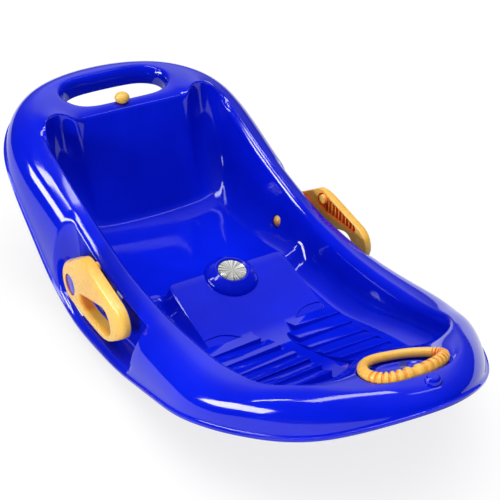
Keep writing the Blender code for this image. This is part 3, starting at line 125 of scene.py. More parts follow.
# The air: even light from above, brighter toward the zenith, and a room that only the gloss mirrors
world = bpy.data.worlds.new("studio_air")
world.use_nodes = True
world.node_tree.nodes.clear()
tree = world.node_tree
seen = node(tree, "LightPath")
direct = node(
    tree, "Math", [(0, seen.outputs["Is Camera Ray"]), (1, seen.outputs["Is Transmission Ray"])],
    operation="MAXIMUM",
)
way = node(tree, "TexCoord").outputs["Generated"]
above = node(tree, "MapRange", [("Value", node(tree, "SeparateXYZ", [(0, way)]).outputs["Z"])])
overhead = node(tree, "Math", [(0, above.outputs["Result"]), (1, CEILING_POWER)], operation="POWER")
ceiling = node(tree, "Math", [(0, overhead.outputs[0]), (1, CEILING_LEVEL)], operation="MULTIPLY")
ambient = node(tree, "Background", [("Strength", ceiling.outputs[0])], Color=WHITE)
white = node(tree, "Background", Color=WHITE, Strength=1.0)
toward = node(tree, "VectorMath", [(0, way), (1, BRIGHT_WAY)], operation="DOT_PRODUCT")
room = node(tree, "ValToRGB", [("Fac", toward.outputs["Value"])])
room.color_ramp.elements[0].color = (ROOM_LIGHT[0][1],) * 3 + (1.0,)
room.color_ramp.elements[1].color = (ROOM_LIGHT[-1][1],) * 3 + (1.0,)
for position, level in ROOM_LIGHT[1:-1]:
    room.color_ramp.elements.new(position).color = (level, level, level, 1.0)
walls = node(tree, "Background", [("Color", room.outputs["Color"])], Strength=1.0)
mirror = node(tree, "MixShader", [(0, seen.outputs["Is Glossy Ray"]), (1, ambient.outputs[0]), (2, walls.outputs[0])])
mixed = node(tree, "MixShader", [(0, direct.outputs[0]), (1, mirror.outputs[0]), (2, white.outputs[0])])
node(tree, "OutputWorld", [("Surface", mixed.outputs[0])])
bpy.context.scene.world = world

for name, place, width, length, watts, aimed, fills, shines in LAMPS:
    lamp = bpy.data.lights.new(name, "AREA")
    lamp.shape = "RECTANGLE"
    lamp.size = width
    lamp.size_y = length
    lamp.energy = watts
    held = bpy.data.objects.new(name, lamp)
    held.location = place
    if aimed:
        held.rotation_euler = (Vector(LAMP_AIM) - Vector(place)).to_track_quat("-Z", "Y").to_euler()
    held.visible_diffuse = fills
    held.visible_glossy = shines
    bpy.context.scene.collection.objects.link(held)

lens = bpy.data.cameras.new("camera")
lens.sensor_width = SENSOR_WIDTH
lens.lens = CAMERA_LENS
camera = bpy.data.objects.new("camera", lens)
right = Vector((math.cos(CAMERA_TURN), math.sin(CAMERA_TURN), 0.0))
up = Vector((
    -math.sin(CAMERA_TURN) * math.sin(CAMERA_LIFT), math.cos(CAMERA_TURN) * math.sin(CAMERA_LIFT),
    math.cos(CAMERA_LIFT),
))
camera.matrix_world = Matrix((right, up, right.cross(up))).transposed().to_4x4()
camera.location = CAMERA_PLACE
bpy.context.scene.collection.objects.link(camera)
bpy.context.scene.camera = camera
bpy.context.scene.view_settings.view_transform = "Standard"


# Hull: one moulding of glossy royal-blue polyethylene, 3 mm thick, with a rolled rim.
# Its skin is a lattice from the lower lip up over the rim and down into the tub, and the
# foot wells, treads, badge boss, runners and lever seats are moulded into it.

MIDDLE_Y = 0.005
WALL = 0.003
FLANGE = 0.004
LIP_HALF_WIDTH = 0.1865
NOSE_LIP_Y, TAIL_LIP_Y = -0.414, 0.424
NOSE_TURN_Y, TAIL_TURN_Y = -0.180, 0.250
NOSE_ROUNDNESS, TAIL_ROUNDNESS = 1.68, 2.2
CROWN_LINE = (
    (-0.384, 0.160), (-0.309, 0.1395), (-0.237, 0.1155), (-0.165, 0.1035), (-0.090, 0.0995),
    (0.012, 0.1085), (0.119, 0.1385), (0.226, 0.1805), (0.300, 0.2085), (0.382, 0.2255),
)
LIP_LINE = (
    (-0.414, 0.149), (-0.342, 0.103), (-0.245, 0.076), (-0.126, 0.047), (-0.020, 0.0265),
    (0.060, 0.0235), (0.140, 0.046), (0.248, 0.122), (0.330, 0.166), (0.424, 0.196),
)
SIDE_ROLL, NOSE_ROLL, TAIL_ROLL = 0.052, 0.030, 0.042
ROLL_CHANGE_START, ROLL_CHANGE_SPAN, ROLL_LIMIT = 0.8, 0.2, 0.85
CROWN_RISE = 0.0105
SKIRT_FULLNESS, DECK_FULLNESS = 1.05, 0.8
TAIL_SPREAD_Y, TAIL_SPREAD_LENGTH, TAIL_SPREAD = 0.150, 0.100, 0.040
NOSE_SPREAD_Y, NOSE_SPREAD_LENGTH, NOSE_SPREAD = -0.170, 0.070, 0.013
OPENING_LINE = ((-0.256, 0.119), (-0.150, 0.125), (0.067, 0.1305), (0.174, 0.132), (0.262, 0.135))
OPENING_FRONT_Y, OPENING_CORNER = -0.302, 0.046
TONGUE_DEPTH, TONGUE_HALF_WIDTH, TONGUE_RISE = 0.022, 0.066, 0.008
BACKREST_HALF_WIDTH, BACKREST_TOP_Y, BACKREST_TOP_Z = 0.080, 0.275, 0.2035
EAR_CENTRE, EAR_RADIUS, EAR_RISE = (0.110, 0.265), 0.024, 0.012
FLOOR_REAR_Y, FLOOR_FRONT_Y = 0.222, -0.262
FLOOR_LINE = ((-0.262, 0.090), (-0.150, 0.098), (0.000, 0.102), (0.100, 0.101), (0.222, 0.098))
SEAT_LINE = ((0.030, 0.0485), (0.060, 0.045), (0.120, 0.0435), (0.185, 0.048), (0.222, 0.058))
STEP_Y, STEP_TOP_Z, STEP_SLOPE, STEP_HALF_WIDTH = 0.022, 0.0745, 0.30, 0.085
STEP_LEAD, STEP_SIDE, STEP_ROUNDING = 0.008, 0.0045, 0.004
SEAT_DISH, FLOOR_FILLET = 0.006, 0.012
SEAT_SPREAD_Y, FLOOR_GATHER, GATHER_POWER, FOOT_SPREAD_Y = 0.060, 0.047, 1.2, -0.130
CHANNEL_Z = 0.036
FOOT_SLOPE_Y, FOOT_SLOPE_Z = -0.100, 0.034
POCKET_FRONT_Y, POCKET_REAR_Y, POCKET_RAMP = -0.071, 0.150, 0.024
POCKET_FLAT_Y = POCKET_REAR_Y - POCKET_RAMP
POCKET_EDGE_X = LIP_HALF_WIDTH - 0.0285
POCKET_UNDERCUT = 0.0035
POCKET_WALL_X = POCKET_EDGE_X - POCKET_UNDERCUT
POCKET_ROUND, POCKET_LEDGE = 0.005, 0.006
SIDE_STATIONS = (
    0.252, 0.228, 0.203, 0.178,
    POCKET_REAR_Y + 0.004, POCKET_REAR_Y, POCKET_REAR_Y - POCKET_RAMP / 2.0, POCKET_FLAT_Y,
    0.104, 0.080, 0.053, STEP_Y + STEP_LEAD, STEP_Y, -0.004, -0.030, -0.055,
    POCKET_FRONT_Y + 0.004, POCKET_FRONT_Y, -0.100, -0.130, -0.160, -0.190, -0.215, -0.238,
)
END_STEPS = 7
NOSE_CORNER = END_STEPS + len(SIDE_STATIONS) + 1
STATIONS = NOSE_CORNER + END_STEPS + 1
ROUND = 2 * (STATIONS - 1)
TAIL_SHARES = (0.0, 0.16, 0.32, 0.47, 0.60, 0.72, 0.84, 0.93)
NOSE_SHARES = (0.87, 0.775, 0.675, 0.56, 0.42, 0.28, 0.14, 0.0)
EAR_ANGLES = (170.0, 115.0, 65.0, 20.0)
CORNER_ANGLES = (12.0, 38.0, 64.0, 90.0)
MID_COLUMNS = (0.0, 0.018, 0.036, 0.055, 0.072, STEP_HALF_WIDTH, STEP_HALF_WIDTH + STEP_SIDE)
REAR_COLUMNS = (0.0, 0.35, 0.69, 1.0)
FLOOR_REAR_COLUMNS, FLOOR_FILLET_SHARES = (0.0, 0.35, 0.69, 0.99), (1.0, 0.6, 0.25, 0.0)
SKIRT_ANGLES = (90.0, 76.0, 60.0, 46.0, 37.0, 27.5, 14.0, 0.0)
DECK_SHARES = (0.10, 0.35, 0.62, 0.82, 0.92)
WALL_SHARES = (0.04, 0.25, 0.55, 0.80, 0.94)
WALL_POWER = (1.2, 1.2, 1.2, 1.25, 3.0, 2.6, 2.6, 3.0)
SIDE_WALL_POWER = 4.5
ROWS = 1 + len(SKIRT_ANGLES) + len(DECK_SHARES) + 1 + len(WALL_SHARES) + 1
HOLE_ROWS = (9, 10, 11, 12)
HOLE_STEPS = 3


def through(points, position):
    """The height at a position on the smooth curve through the points, with no overshoot."""
    if position <= points[0][0]:
        return points[0][1]
    if position >= points[-1][0]:
        return points[-1][1]
    slopes = [(b[1] - a[1]) / (b[0] - a[0]) for a, b in zip(points, points[1:])]
    tangents = [slopes[0]]
    for before, after in zip(slopes, slopes[1:]):
        tangents.append(0.0 if before * after <= 0.0 else 2.0 * before * after / (before + after))
    tangents.append(slopes[-1])
    for index, (start, end) in enumerate(zip(points, points[1:])):
        if position <= end[0]:
            break
    span = end[0] - start[0]
    t = (position - start[0]) / span
    return (
        start[1] * (1.0 + 2.0 * t) * (1.0 - t) ** 2 + end[1] * t * t * (3.0 - 2.0 * t)
        + span * tangents[index] * t * (1.0 - t) ** 2 + span * tangents[index + 1] * t * t * (t - 1.0)
    )


def between(a, b, t):
    """The value at share t of the way from a to b."""
    return a + (b - a) * t


def ease(t):
    """A soft step from 0 to 1."""
    t = min(max(t, 0.0), 1.0)
    return t * t * (3.0 - 2.0 * t)


def rounded_end(share, roundness):
    """How far a rounded end of the lip has turned in, from 1 at share 0 to 0 at share 1."""
    return (1.0 - share ** roundness) ** (1.0 / roundness)


def lip_point(k):
    """The lower lip of the skirt at a station, in plan."""
    if k <= END_STEPS:
        share = TAIL_SHARES[k]
        return LIP_HALF_WIDTH * share, between(TAIL_TURN_Y, TAIL_LIP_Y, rounded_end(share, TAIL_ROUNDNESS))
    if k >= NOSE_CORNER:
        share = NOSE_SHARES[k - NOSE_CORNER]
        return LIP_HALF_WIDTH * share, between(NOSE_TURN_Y, NOSE_LIP_Y, rounded_end(share, NOSE_ROUNDNESS))
    y = SIDE_STATIONS[k - END_STEPS - 1]
    if y > TAIL_SPREAD_Y:
        y += TAIL_SPREAD * ((y - TAIL_SPREAD_Y) / TAIL_SPREAD_LENGTH) ** 2
    if y < NOSE_SPREAD_Y:
        y -= NOSE_SPREAD * ((NOSE_SPREAD_Y - y) / NOSE_SPREAD_LENGTH) ** 2
    x = LIP_HALF_WIDTH
    if y > TAIL_TURN_Y:
        x *= rounded_end((y - TAIL_TURN_Y) / (TAIL_LIP_Y - TAIL_TURN_Y), TAIL_ROUNDNESS)
    if y < NOSE_TURN_Y:
        x *= rounded_end((NOSE_TURN_Y - y) / (NOSE_TURN_Y - NOSE_LIP_Y), NOSE_ROUNDNESS)
    return x, y


def opening_point(k):
    """The edge of the tub's opening at a station: x, y and height."""
    if k < len(REAR_COLUMNS):
        return BACKREST_HALF_WIDTH * REAR_COLUMNS[k], BACKREST_TOP_Y, BACKREST_TOP_Z
    if k <= END_STEPS:
        angle = math.radians(EAR_ANGLES[k - len(REAR_COLUMNS)])
        x = EAR_CENTRE[0] + EAR_RADIUS * math.cos(angle)
        y = EAR_CENTRE[1] + EAR_RADIUS * math.sin(angle)
        return x, y, BACKREST_TOP_Z + EAR_RISE * ease((y - EAR_CENTRE[1]) / EAR_RADIUS + 0.125)
    if k < NOSE_CORNER:
        y = SIDE_STATIONS[k - END_STEPS - 1]
        return through(OPENING_LINE, y), y, through(CROWN_LINE, y) - CROWN_RISE
    step = k - NOSE_CORNER
    if step < len(CORNER_ANGLES):
        angle = math.radians(CORNER_ANGLES[step])
        x = OPENING_LINE[0][1] - OPENING_CORNER * (1.0 - math.cos(angle))
        y = OPENING_FRONT_Y + OPENING_CORNER * (1.0 - math.sin(angle))
        return x, y, through(CROWN_LINE, y) - CROWN_RISE
    x = (OPENING_LINE[0][1] - OPENING_CORNER) * (END_STEPS - step) / len(CORNER_ANGLES)
    bulge = 0.5 + 0.5 * math.cos(math.pi * min(x / TONGUE_HALF_WIDTH, 1.0))
    y = OPENING_FRONT_Y + TONGUE_DEPTH * bulge
    return x, y, through(CROWN_LINE, y) - CROWN_RISE + TONGUE_RISE * bulge


def seat_height(x, y):
    """Height of the tub's floor, without its treads."""
    side = abs(x)
    if y > STEP_Y + STEP_ROUNDING:
        return through(SEAT_LINE, y) + SEAT_DISH * (side / FLOOR_LINE[-1][1]) ** 2
    slope = STEP_TOP_Z - STEP_SLOPE * (STEP_Y - y)
    foot = FOOT_SLOPE_Z + STEP_SLOPE * (FOOT_SLOPE_Y - y)
    centre = 0.5 * (slope + foot + math.hypot(slope - foot, STEP_ROUNDING))
    channel = 0.5 * (CHANNEL_Z + foot + math.hypot(CHANNEL_Z - foot, STEP_ROUNDING))
    return min(centre, channel) if side > STEP_HALF_WIDTH + 0.5 * STEP_SIDE else centre


def floor_point(i, j):
    """A point of the floor's grid: column i from the centre line, row j from the backrest."""
    if j == 0:
        y = FLOOR_REAR_Y
    elif j > len(SIDE_STATIONS):
        y = FLOOR_FRONT_Y
    else:
        y = SIDE_STATIONS[j - 1]
        if y > TAIL_SPREAD_Y:
            y -= FLOOR_GATHER * ((y - TAIL_SPREAD_Y) / TAIL_SPREAD_LENGTH) ** GATHER_POWER
    edge = through(FLOOR_LINE, y)
    rear = [share * BACKREST_HALF_WIDTH for share in FLOOR_REAR_COLUMNS]
    rear += [edge - share * FLOOR_FILLET for share in FLOOR_FILLET_SHARES]
    middle = edge if i == END_STEPS else MID_COLUMNS[i]
    if y > SEAT_SPREAD_Y:
        x = between(middle, rear[i], ease((y - SEAT_SPREAD_Y) / (FLOOR_REAR_Y - SEAT_SPREAD_Y)))
    else:
        front = edge * i / END_STEPS
        x = between(middle, front, ease((FOOT_SPREAD_Y - y) / (FOOT_SPREAD_Y - FLOOR_FRONT_Y)))
    return Vector((x, y, seat_height(x, y)))


def crown_point(k):
    """Where the deck turns over into the skirt, at a station."""
    lip = Vector(lip_point(k))
    opening = Vector(opening_point(k)[:2])
    end = ease((abs(lip.normalized().y) - ROLL_CHANGE_START) / ROLL_CHANGE_SPAN)
    roll = between(SIDE_ROLL, TAIL_ROLL if lip.y > 0.0 else NOSE_ROLL, end)
    place = lip + (opening - lip) * min(roll / (opening - lip).length, ROLL_LIMIT)
    return Vector((place.x, place.y, through(CROWN_LINE, place.y)))


def deck_height_at(k, y):
    """Height of the deck near a station, at a given y."""
    crown = crown_point(k)
    opening = opening_point(k)
    share = min(max((y - crown.y) / (opening[1] - crown.y), 0.0), 1.0)
    return between(opening[2], crown.z, math.sin(0.5 * math.pi * (1.0 - share)) ** DECK_FULLNESS)


def pocket_share(k):
    """How far a station is sunk into the lever pocket: 0 outside, 1 inside."""
    if not END_STEPS < k < NOSE_CORNER:
        return 0.0
    y = SIDE_STATIONS[k - END_STEPS - 1]
    if y <= POCKET_FRONT_Y or y >= POCKET_REAR_Y:
        return 0.0
    return min((POCKET_REAR_Y - y) / POCKET_RAMP, 1.0)


def hull_column(k):
    """All points of one station from the flange to the floor's edge."""
    x, y = lip_point(k)
    opening = Vector(opening_point(k))
    crown = crown_point(k)
    lip = Vector((x, y, through(LIP_LINE, y)))
    outward = Vector((x - opening.x, y - opening.y, 0.0)).normalized()
    points = [lip + outward * FLANGE]
    for angle in SKIRT_ANGLES:
        turn = math.radians(angle)
        point = crown + (lip - crown) * math.sin(turn) ** SKIRT_FULLNESS
        point.z = lip.z + (crown.z - lip.z) * math.cos(turn)
        points.append(point)
    share = pocket_share(k)
    if share > 0.0:
        ledge = lip.z + POCKET_LEDGE
        points[6].x = POCKET_EDGE_X
        sunk = (
            (5, (POCKET_WALL_X + 0.3 * POCKET_UNDERCUT, y, points[6].z - POCKET_ROUND)),
            (4, (POCKET_WALL_X, y, ledge + POCKET_ROUND)),
            (3, (POCKET_WALL_X + 0.8 * POCKET_ROUND, y, ledge)),
            (2, (LIP_HALF_WIDTH - 0.2 * POCKET_ROUND, y, ledge)),
        )
        for row, spot in sunk:
            points[row] = points[row].lerp(Vector(spot), share)
    for deck in DECK_SHARES:
        point = crown.lerp(opening, deck)
        point.z = between(opening.z, crown.z, math.sin(0.5 * math.pi * (1.0 - deck)) ** DECK_FULLNESS)
        points.append(point)
    points.append(opening)
    if k <= END_STEPS:
        foot = floor_point(k, 0)
    elif k >= NOSE_CORNER:
        foot = floor_point(STATIONS - 1 - k, len(SIDE_STATIONS) + 1)
    else:
        foot = floor_point(END_STEPS, k - END_STEPS)
    power = WALL_POWER[k] if k <= END_STEPS else SIDE_WALL_POWER
    for wall in WALL_SHARES:
        point = opening.lerp(foot, wall ** power)
        point.z = between(opening.z, foot.z, wall)
        points.append(point)
    return points + [foot]


SLOT_HALF_LENGTH, SLOT_FRONT_Y, SLOT_REAR_Y, SLOT_DEPTH = 0.087, 0.293, 0.372, 0.026
SLOT_LEVELS = ((0.0, 0.0), (0.004, 0.004), (0.007, 0.012), (0.008, SLOT_DEPTH))
RECESS_CENTRE_Y = -0.343
RECESS_TURN = math.radians(-15.0)
RECESS_DEPTH, RECESS_CLEARANCE, RECESS_ROUNDING = 0.0115, 0.002, 0.001
GRIP_HALF_LENGTH, GRIP_HALF_WIDTH = 0.0435, 0.0244
GRIP_RADIUS, GRIP_SWELL, GRIP_TAPER, GRIP_ROUNDNESS = 0.0063, 0.0012, 0.40, 0.80
GRIP_SIDES, GRIP_SEAT = 10, 0.0003
GRIP_BOTTOM = (GRIP_RADIUS + GRIP_SWELL) * math.cos(math.pi / GRIP_SIDES)
RECESS_STEPS, RECESS_FILLET = 18, 0.0015
ISLAND_CLEARANCE, ISLAND_END, ISLAND_HEIGHT, ISLAND_RIM = 0.003, 0.024, 0.006, 0.006
ISLAND_FOOT, ISLAND_FOOT_RISE, DISH_DEPTH = 0.0010, 0.0012, 0.0025


def slot_ring(inset, heights, drop):
    """The hand slot's outline at one level, round from the middle of its front edge."""
    radius = (SLOT_REAR_Y - SLOT_FRONT_Y) / 2.0
    centre = SLOT_HALF_LENGTH - radius
    middle = (SLOT_REAR_Y + SLOT_FRONT_Y) / 2.0
    half = [(0.0, SLOT_FRONT_Y + inset), (0.5 * centre, SLOT_FRONT_Y + inset)]
    for angle in (-90.0, -54.0, -18.0, 18.0, 54.0, 90.0):
        turn = math.radians(angle)
        half.append((centre + (radius - inset) * math.cos(turn), middle + (radius - inset) * math.sin(turn)))
    half += [(0.5 * centre, SLOT_REAR_Y - inset), (0.0, SLOT_REAR_Y - inset)]
    outline = half + [(-x, y) for x, y in half[-2:0:-1]]
    return [Vector((x, y, height - drop)) for (x, y), height in zip(outline, heights)]


def grip_radius(share):
    """The grip bar's radius, thickest along its front."""
    return GRIP_RADIUS - GRIP_SWELL * math.sin(2.0 * math.pi * share)


def grip_line(share):
    """A point of the grip's centre line, round from its +X end."""
    angle = 2.0 * math.pi * share
    cosine = math.cos(angle)
    x = GRIP_HALF_LENGTH * math.copysign(abs(cosine) ** GRIP_ROUNDNESS, cosine)
    y = GRIP_HALF_WIDTH * math.sin(angle) * (1.0 - GRIP_TAPER * cosine)
    return Vector((x, y, 0.0))


def grip_outward(share):
    """The direction away from the loop's middle at a point of the grip's centre line."""
    along = (grip_line(share + 0.002) - grip_line(share - 0.002)).normalized()
    return Vector((along.y, -along.x, 0.0))


def grip_place():
    """The towing grip's frame: on the recess floor, turned and tilted with the deck."""
    front = deck_height_at(STATIONS - 1, RECESS_CENTRE_Y - GRIP_HALF_WIDTH)
    rear = deck_height_at(STATIONS - 1, RECESS_CENTRE_Y + GRIP_HALF_WIDTH)
    slope = (front - rear) / (2.0 * GRIP_HALF_WIDTH)
    rise = deck_height_at(STATIONS - 1, RECESS_CENTRE_Y) - RECESS_DEPTH + GRIP_BOTTOM + GRIP_SEAT
    turned_over = Matrix.Rotation(-math.atan(slope), 4, "X") @ Matrix.Rotation(RECESS_TURN, 4, "Z")
    return Matrix.Translation((0.0, RECESS_CENTRE_Y, rise)) @ turned_over


def recess_ring(spare, height):
    """The grip's outline widened by a margin, round from the middle of its rear edge."""
    ring = []
    for step in range(RECESS_STEPS):
        share = 0.25 - step / RECESS_STEPS
        edge = grip_line(share) + grip_outward(share) * (grip_radius(share) + spare)
        ring.append(grip_place() @ Vector((edge.x, edge.y, height)))
    return ring


def island_ring(inset, height):
    """The outline of the low island inside the grip, drawn in by an inset."""
    start = GRIP_RADIUS + ISLAND_CLEARANCE - GRIP_HALF_LENGTH
    middle = (ISLAND_END + start) / 2.0
    half_length = (ISLAND_END - start) / 2.0 - inset
    half_width = GRIP_HALF_WIDTH - GRIP_RADIUS - GRIP_SWELL - ISLAND_CLEARANCE - inset
    ring = []
    for step in range(RECESS_STEPS):
        angle = math.radians(90.0 - 360.0 / RECESS_STEPS * step)
        cosine = math.cos(angle)
        x = middle + half_length * math.copysign(abs(cosine) ** GRIP_ROUNDNESS, cosine)
        y = half_width * math.sin(angle) * (1.0 - GRIP_TAPER * cosine)
        ring.append(grip_place() @ Vector((x, y, height)))
    return ring


def hole_walk(middle, step):
    """The stations and rows round a hole in the deck, from the middle of its inner edge."""
    inner, outer = HOLE_ROWS[-1], HOLE_ROWS[0]
    walk = [(middle + step * index, inner) for index in range(HOLE_STEPS + 1)]
    walk += [(middle + step * HOLE_STEPS, row) for row in HOLE_ROWS[2:0:-1]]
    walk += [(middle + step * index, outer) for index in range(HOLE_STEPS, -1, -1)]
    return walk + [((ROUND - k) % ROUND, row) for k, row in walk[-2:0:-1]]


def vertices_in(items):
    """The vertices among the parts that an operator has made."""
    return [item for item in items if isinstance(item, bmesh.types.BMVert)]


def next_ring(work, ring, spots):
    """Extrude a closed ring of vertices to new places, and return the new ring."""
    edges = [work.edges.get(pair) for pair in zip(ring, ring[1:] + ring[:1])]
    fresh = vertices_in(bmesh.ops.extrude_edge_only(work, edges=edges)["geom"])
    ring = [min(fresh, key=lambda vertex: (vertex.co - old.co).length) for old in ring]
    for vertex, spot in zip(ring, spots):
        vertex.co = spot
    return ring


# The skin: one grid is wrapped from lip to tub, its cells over the hand slot and the grip's
# recess are left out, and their edges are drawn down in rings
skin = bmesh.new()
columns = [hull_column(k) for k in range(STATIONS)]
bmesh.ops.create_grid(skin, x_segments=ROUND, y_segments=ROWS - 1, size=1.0)
skin.verts.ensure_lookup_table()
lattice = {}
for row in range(ROWS):
    for place in range(ROUND + 1):
        k = min(place, ROUND - place)
        vertex = skin.verts[row * (ROUND + 1) + place]
        vertex.co = columns[k][row]
        if place != k:
            vertex.co.x = -vertex.co.x
        lattice[place, row] = vertex
lost = []
for face in skin.faces:
    spots = [divmod(vertex.index, ROUND + 1) for vertex in face.verts]
    row = min(spot[0] for spot in spots)
    first = min(spot[1] for spot in spots)
    near = min(first, ROUND - 1 - first)
    if HOLE_ROWS[0] <= row < HOLE_ROWS[-1] and (near < HOLE_STEPS or near >= STATIONS - 1 - HOLE_STEPS):
        lost.append(face)

slot_walk = hole_walk(0, 1)
slot_heights = []
for (place, row), point in zip(slot_walk, slot_ring(0.0, [0.0] * len(slot_walk), 0.0)):
    slot_heights.append(deck_height_at(min(place, ROUND - place), point.y))
slot_rings = [slot_ring(inset, slot_heights, drop) for inset, drop in SLOT_LEVELS]
recess_walk = hole_walk(STATIONS - 1, -1)
recess_edge = recess_ring(RECESS_CLEARANCE + RECESS_ROUNDING, 0.0)
for (place, row), point in zip(recess_walk, recess_edge):
    point.z = deck_height_at(min(place, ROUND - place), point.y)
bed = -GRIP_BOTTOM - GRIP_SEAT
island_top = bed + ISLAND_HEIGHT
recess_rings = [
    recess_edge,
    [point.lerp(low, 0.4) for point, low in zip(recess_edge, recess_ring(RECESS_CLEARANCE, 0.0))],
    recess_ring(RECESS_CLEARANCE, bed + RECESS_FILLET),
    recess_ring(RECESS_CLEARANCE - RECESS_FILLET, bed),
    island_ring(-ISLAND_FOOT, bed),
    island_ring(0.0, bed + ISLAND_FOOT_RISE),
    island_ring(0.25 * ISLAND_RIM, island_top),
    island_ring(ISLAND_RIM, island_top),
    island_ring(1.5 * ISLAND_RIM, island_top - DISH_DEPTH),
]
for walk, rings in ((slot_walk, slot_rings), (recess_walk, recess_rings)):
    for (place, row), spot in zip(walk, rings[0]):
        lattice[place, row].co = spot
        if place == 0:
            lattice[ROUND, row].co = spot
bmesh.ops.delete(skin, geom=lost, context="FACES")
tub_floor = bmesh.ops.create_grid(
    skin, x_segments=2 * END_STEPS, y_segments=len(SIDE_STATIONS) + 1, size=1.0,
)["verts"]
for index, vertex in enumerate(tub_floor):
    j, i = divmod(index, 2 * END_STEPS + 1)
    i -= END_STEPS
    point = floor_point(abs(i), j)
    vertex.co = (math.copysign(point.x, i), point.y, point.z)
bmesh.ops.remove_doubles(skin, verts=skin.verts, dist=0.00002)
for rings, closed in ((slot_rings, False), (recess_rings, True)):
    rim = [min(skin.verts, key=lambda vertex: (vertex.co - spot).length) for spot in rings[0]]
    for ring in rings[1:]:
        rim = next_ring(skin, rim, ring)
    if closed:
        edges = [skin.edges.get(pair) for pair in zip(rim, rim[1:] + rim[:1])]
        bmesh.ops.contextual_create(skin, geom=edges)

ON_LINE = 0.0002
# Edges that run across the sled: y, from and to how far out, crease
CROSS_CREASES = (
    (STEP_Y, 0.0, STEP_HALF_WIDTH + 0.001, 0.62), (STEP_Y + STEP_LEAD, 0.0, STEP_HALF_WIDTH + 0.001, 0.35),
    (POCKET_FRONT_Y, 0.150, 0.190, 0.55), (POCKET_FRONT_Y + 0.004, 0.150, 0.190, 0.55),
    (POCKET_FLAT_Y, 0.150, 0.190, 0.50), (POCKET_REAR_Y, 0.150, 0.190, 0.50),
)
# Edges that run along it: how far out, from and to which y, crease
LONG_CREASES = (
    (STEP_HALF_WIDTH, -0.110, STEP_Y + ON_LINE, 0.55),
    (POCKET_EDGE_X, POCKET_FRONT_Y, POCKET_REAR_Y - 0.001, 0.45),
)
crease = skin.edges.layers.float.new("crease_edge")
for edge in skin.edges:
    out = [abs(vertex.co.x) for vertex in edge.verts]
    along = [vertex.co.y for vertex in edge.verts]
    for y, low, high, amount in CROSS_CREASES:
        if all(abs(place - y) < ON_LINE for place in along) and low <= min(out) and max(out) <= high:
            edge[crease] = amount
    for x, front, rear, amount in LONG_CREASES:
        if all(abs(place - x) < ON_LINE for place in out) and front < min(along) and max(along) < rear:
            edge[crease] = amount
bmesh.ops.recalc_face_normals(skin, faces=skin.faces)


SHARP_ANGLE = 38.0


def rough_piece(name, work):
    """A bmesh as an object that modifiers can still work on."""
    mesh = bpy.data.meshes.new(name)
    work.to_mesh(mesh)
    work.free()
    made = bpy.data.objects.new(name, mesh)
    bpy.context.scene.collection.objects.link(made)
    return made


def carve(target, work, operation):
    """Join or cut a rough piece with a closed shape."""
    tool = rough_piece(target.name + " tool", work)
    step = target.modifiers.new(operation, "BOOLEAN")
    step.operation = operation
    step.object = tool
    step.solver = "MANIFOLD"


def cast(made, look, body, replaced, angle=SHARP_ANGLE):
    """Turn a rough piece into a finished one in the sled's frame, riding on its body."""
    tools = [step.object for step in made.modifiers if step.type == "BOOLEAN"]
    graph = bpy.context.evaluated_depsgraph_get()
    mesh = bpy.data.meshes.new_from_object(made.evaluated_get(graph))
    made.modifiers.clear()
    made.data = mesh
    for tool in tools:
        bpy.data.objects.remove(tool, do_unlink=True)
    mesh.name = made.name
    mesh.transform(Matrix.Translation((0.0, -MIDDLE_Y, 0.0)))
    mesh.shade_smooth()
    mesh.set_sharp_from_angle(angle=math.radians(angle))
    mesh.materials.clear()
    mesh.materials.append(look)
    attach(made, body)
    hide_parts(*replaced)
    return made


def lathe(profile, place, steps=48):
    """A turned solid: a half section of (radius, height) spun about a frame's Z axis."""
    work = bmesh.new()
    points = [work.verts.new((radius, 0.0, height)) for radius, height in profile]
    edges = [work.edges.new(pair) for pair in zip(points, points[1:])]
    bmesh.ops.spin(
        work, geom=points + edges, axis=(0.0, 0.0, 1.0), cent=(0.0, 0.0, 0.0),
        angle=2.0 * math.pi, steps=steps, use_merge=True,
    )
    bmesh.ops.remove_doubles(work, verts=work.verts, dist=0.000005)
    bmesh.ops.transform(work, matrix=place, verts=work.verts)
    bmesh.ops.recalc_face_normals(work, faces=work.faces)
    return work


def prism(outline, start, end):
    """A closed solid: an outline of (y, z) pairs drawn out along X from start to end."""
    work = bmesh.new()
    corners = [work.verts.new((start, y, z)) for y, z in outline]
    sides = [work.edges.new(pair) for pair in zip(corners, corners[1:] + corners[:1])]
    face = bmesh.ops.contextual_create(work, geom=sides)["faces"][0]
    moved = vertices_in(bmesh.ops.extrude_face_region(work, geom=[face])["geom"])
    bmesh.ops.translate(work, verts=moved, vec=(end - start, 0.0, 0.0))
    bmesh.ops.recalc_face_normals(work, faces=work.faces)
    return work


def drawn_through(rings):
    """A closed solid through rings of points."""
    work = bmesh.new()
    ring = [work.verts.new(spot) for spot in rings[0]]
    bmesh.ops.contextual_create(work, geom=ring)
    for spots in rings[1:]:
        ring = next_ring(work, ring, spots)
    bmesh.ops.contextual_create(work, geom=ring)
    bmesh.ops.recalc_face_normals(work, faces=work.faces)
    return work


def round_off(work, edges, offset, segments=3):
    """Round some of a shape's edges."""
    bmesh.ops.bevel(
        work, geom=edges, offset=offset, segments=segments, profile=0.5, material=-1, affect="EDGES",
    )


def joined(works):
    """Several bmeshes as one."""
    whole = bmesh.new()
    for work in works:
        mesh = bpy.data.meshes.new("part")
        work.to_mesh(mesh)
        work.free()
        whole.from_mesh(mesh)
        bpy.data.meshes.remove(mesh)
    return whole


def across(x, y, z):
    """A frame whose Z axis points along +X."""
    return Matrix.Translation((x, y, z)) @ Matrix.Rotation(math.radians(90.0), 4, "Y")


def round_bar(radius, start, end, place, steps=40):
    """A plain round solid along a frame's Z axis, used to cut or join."""
    return lathe(((0.0, start), (radius, start), (radius, end), (0.0, end)), place, steps)


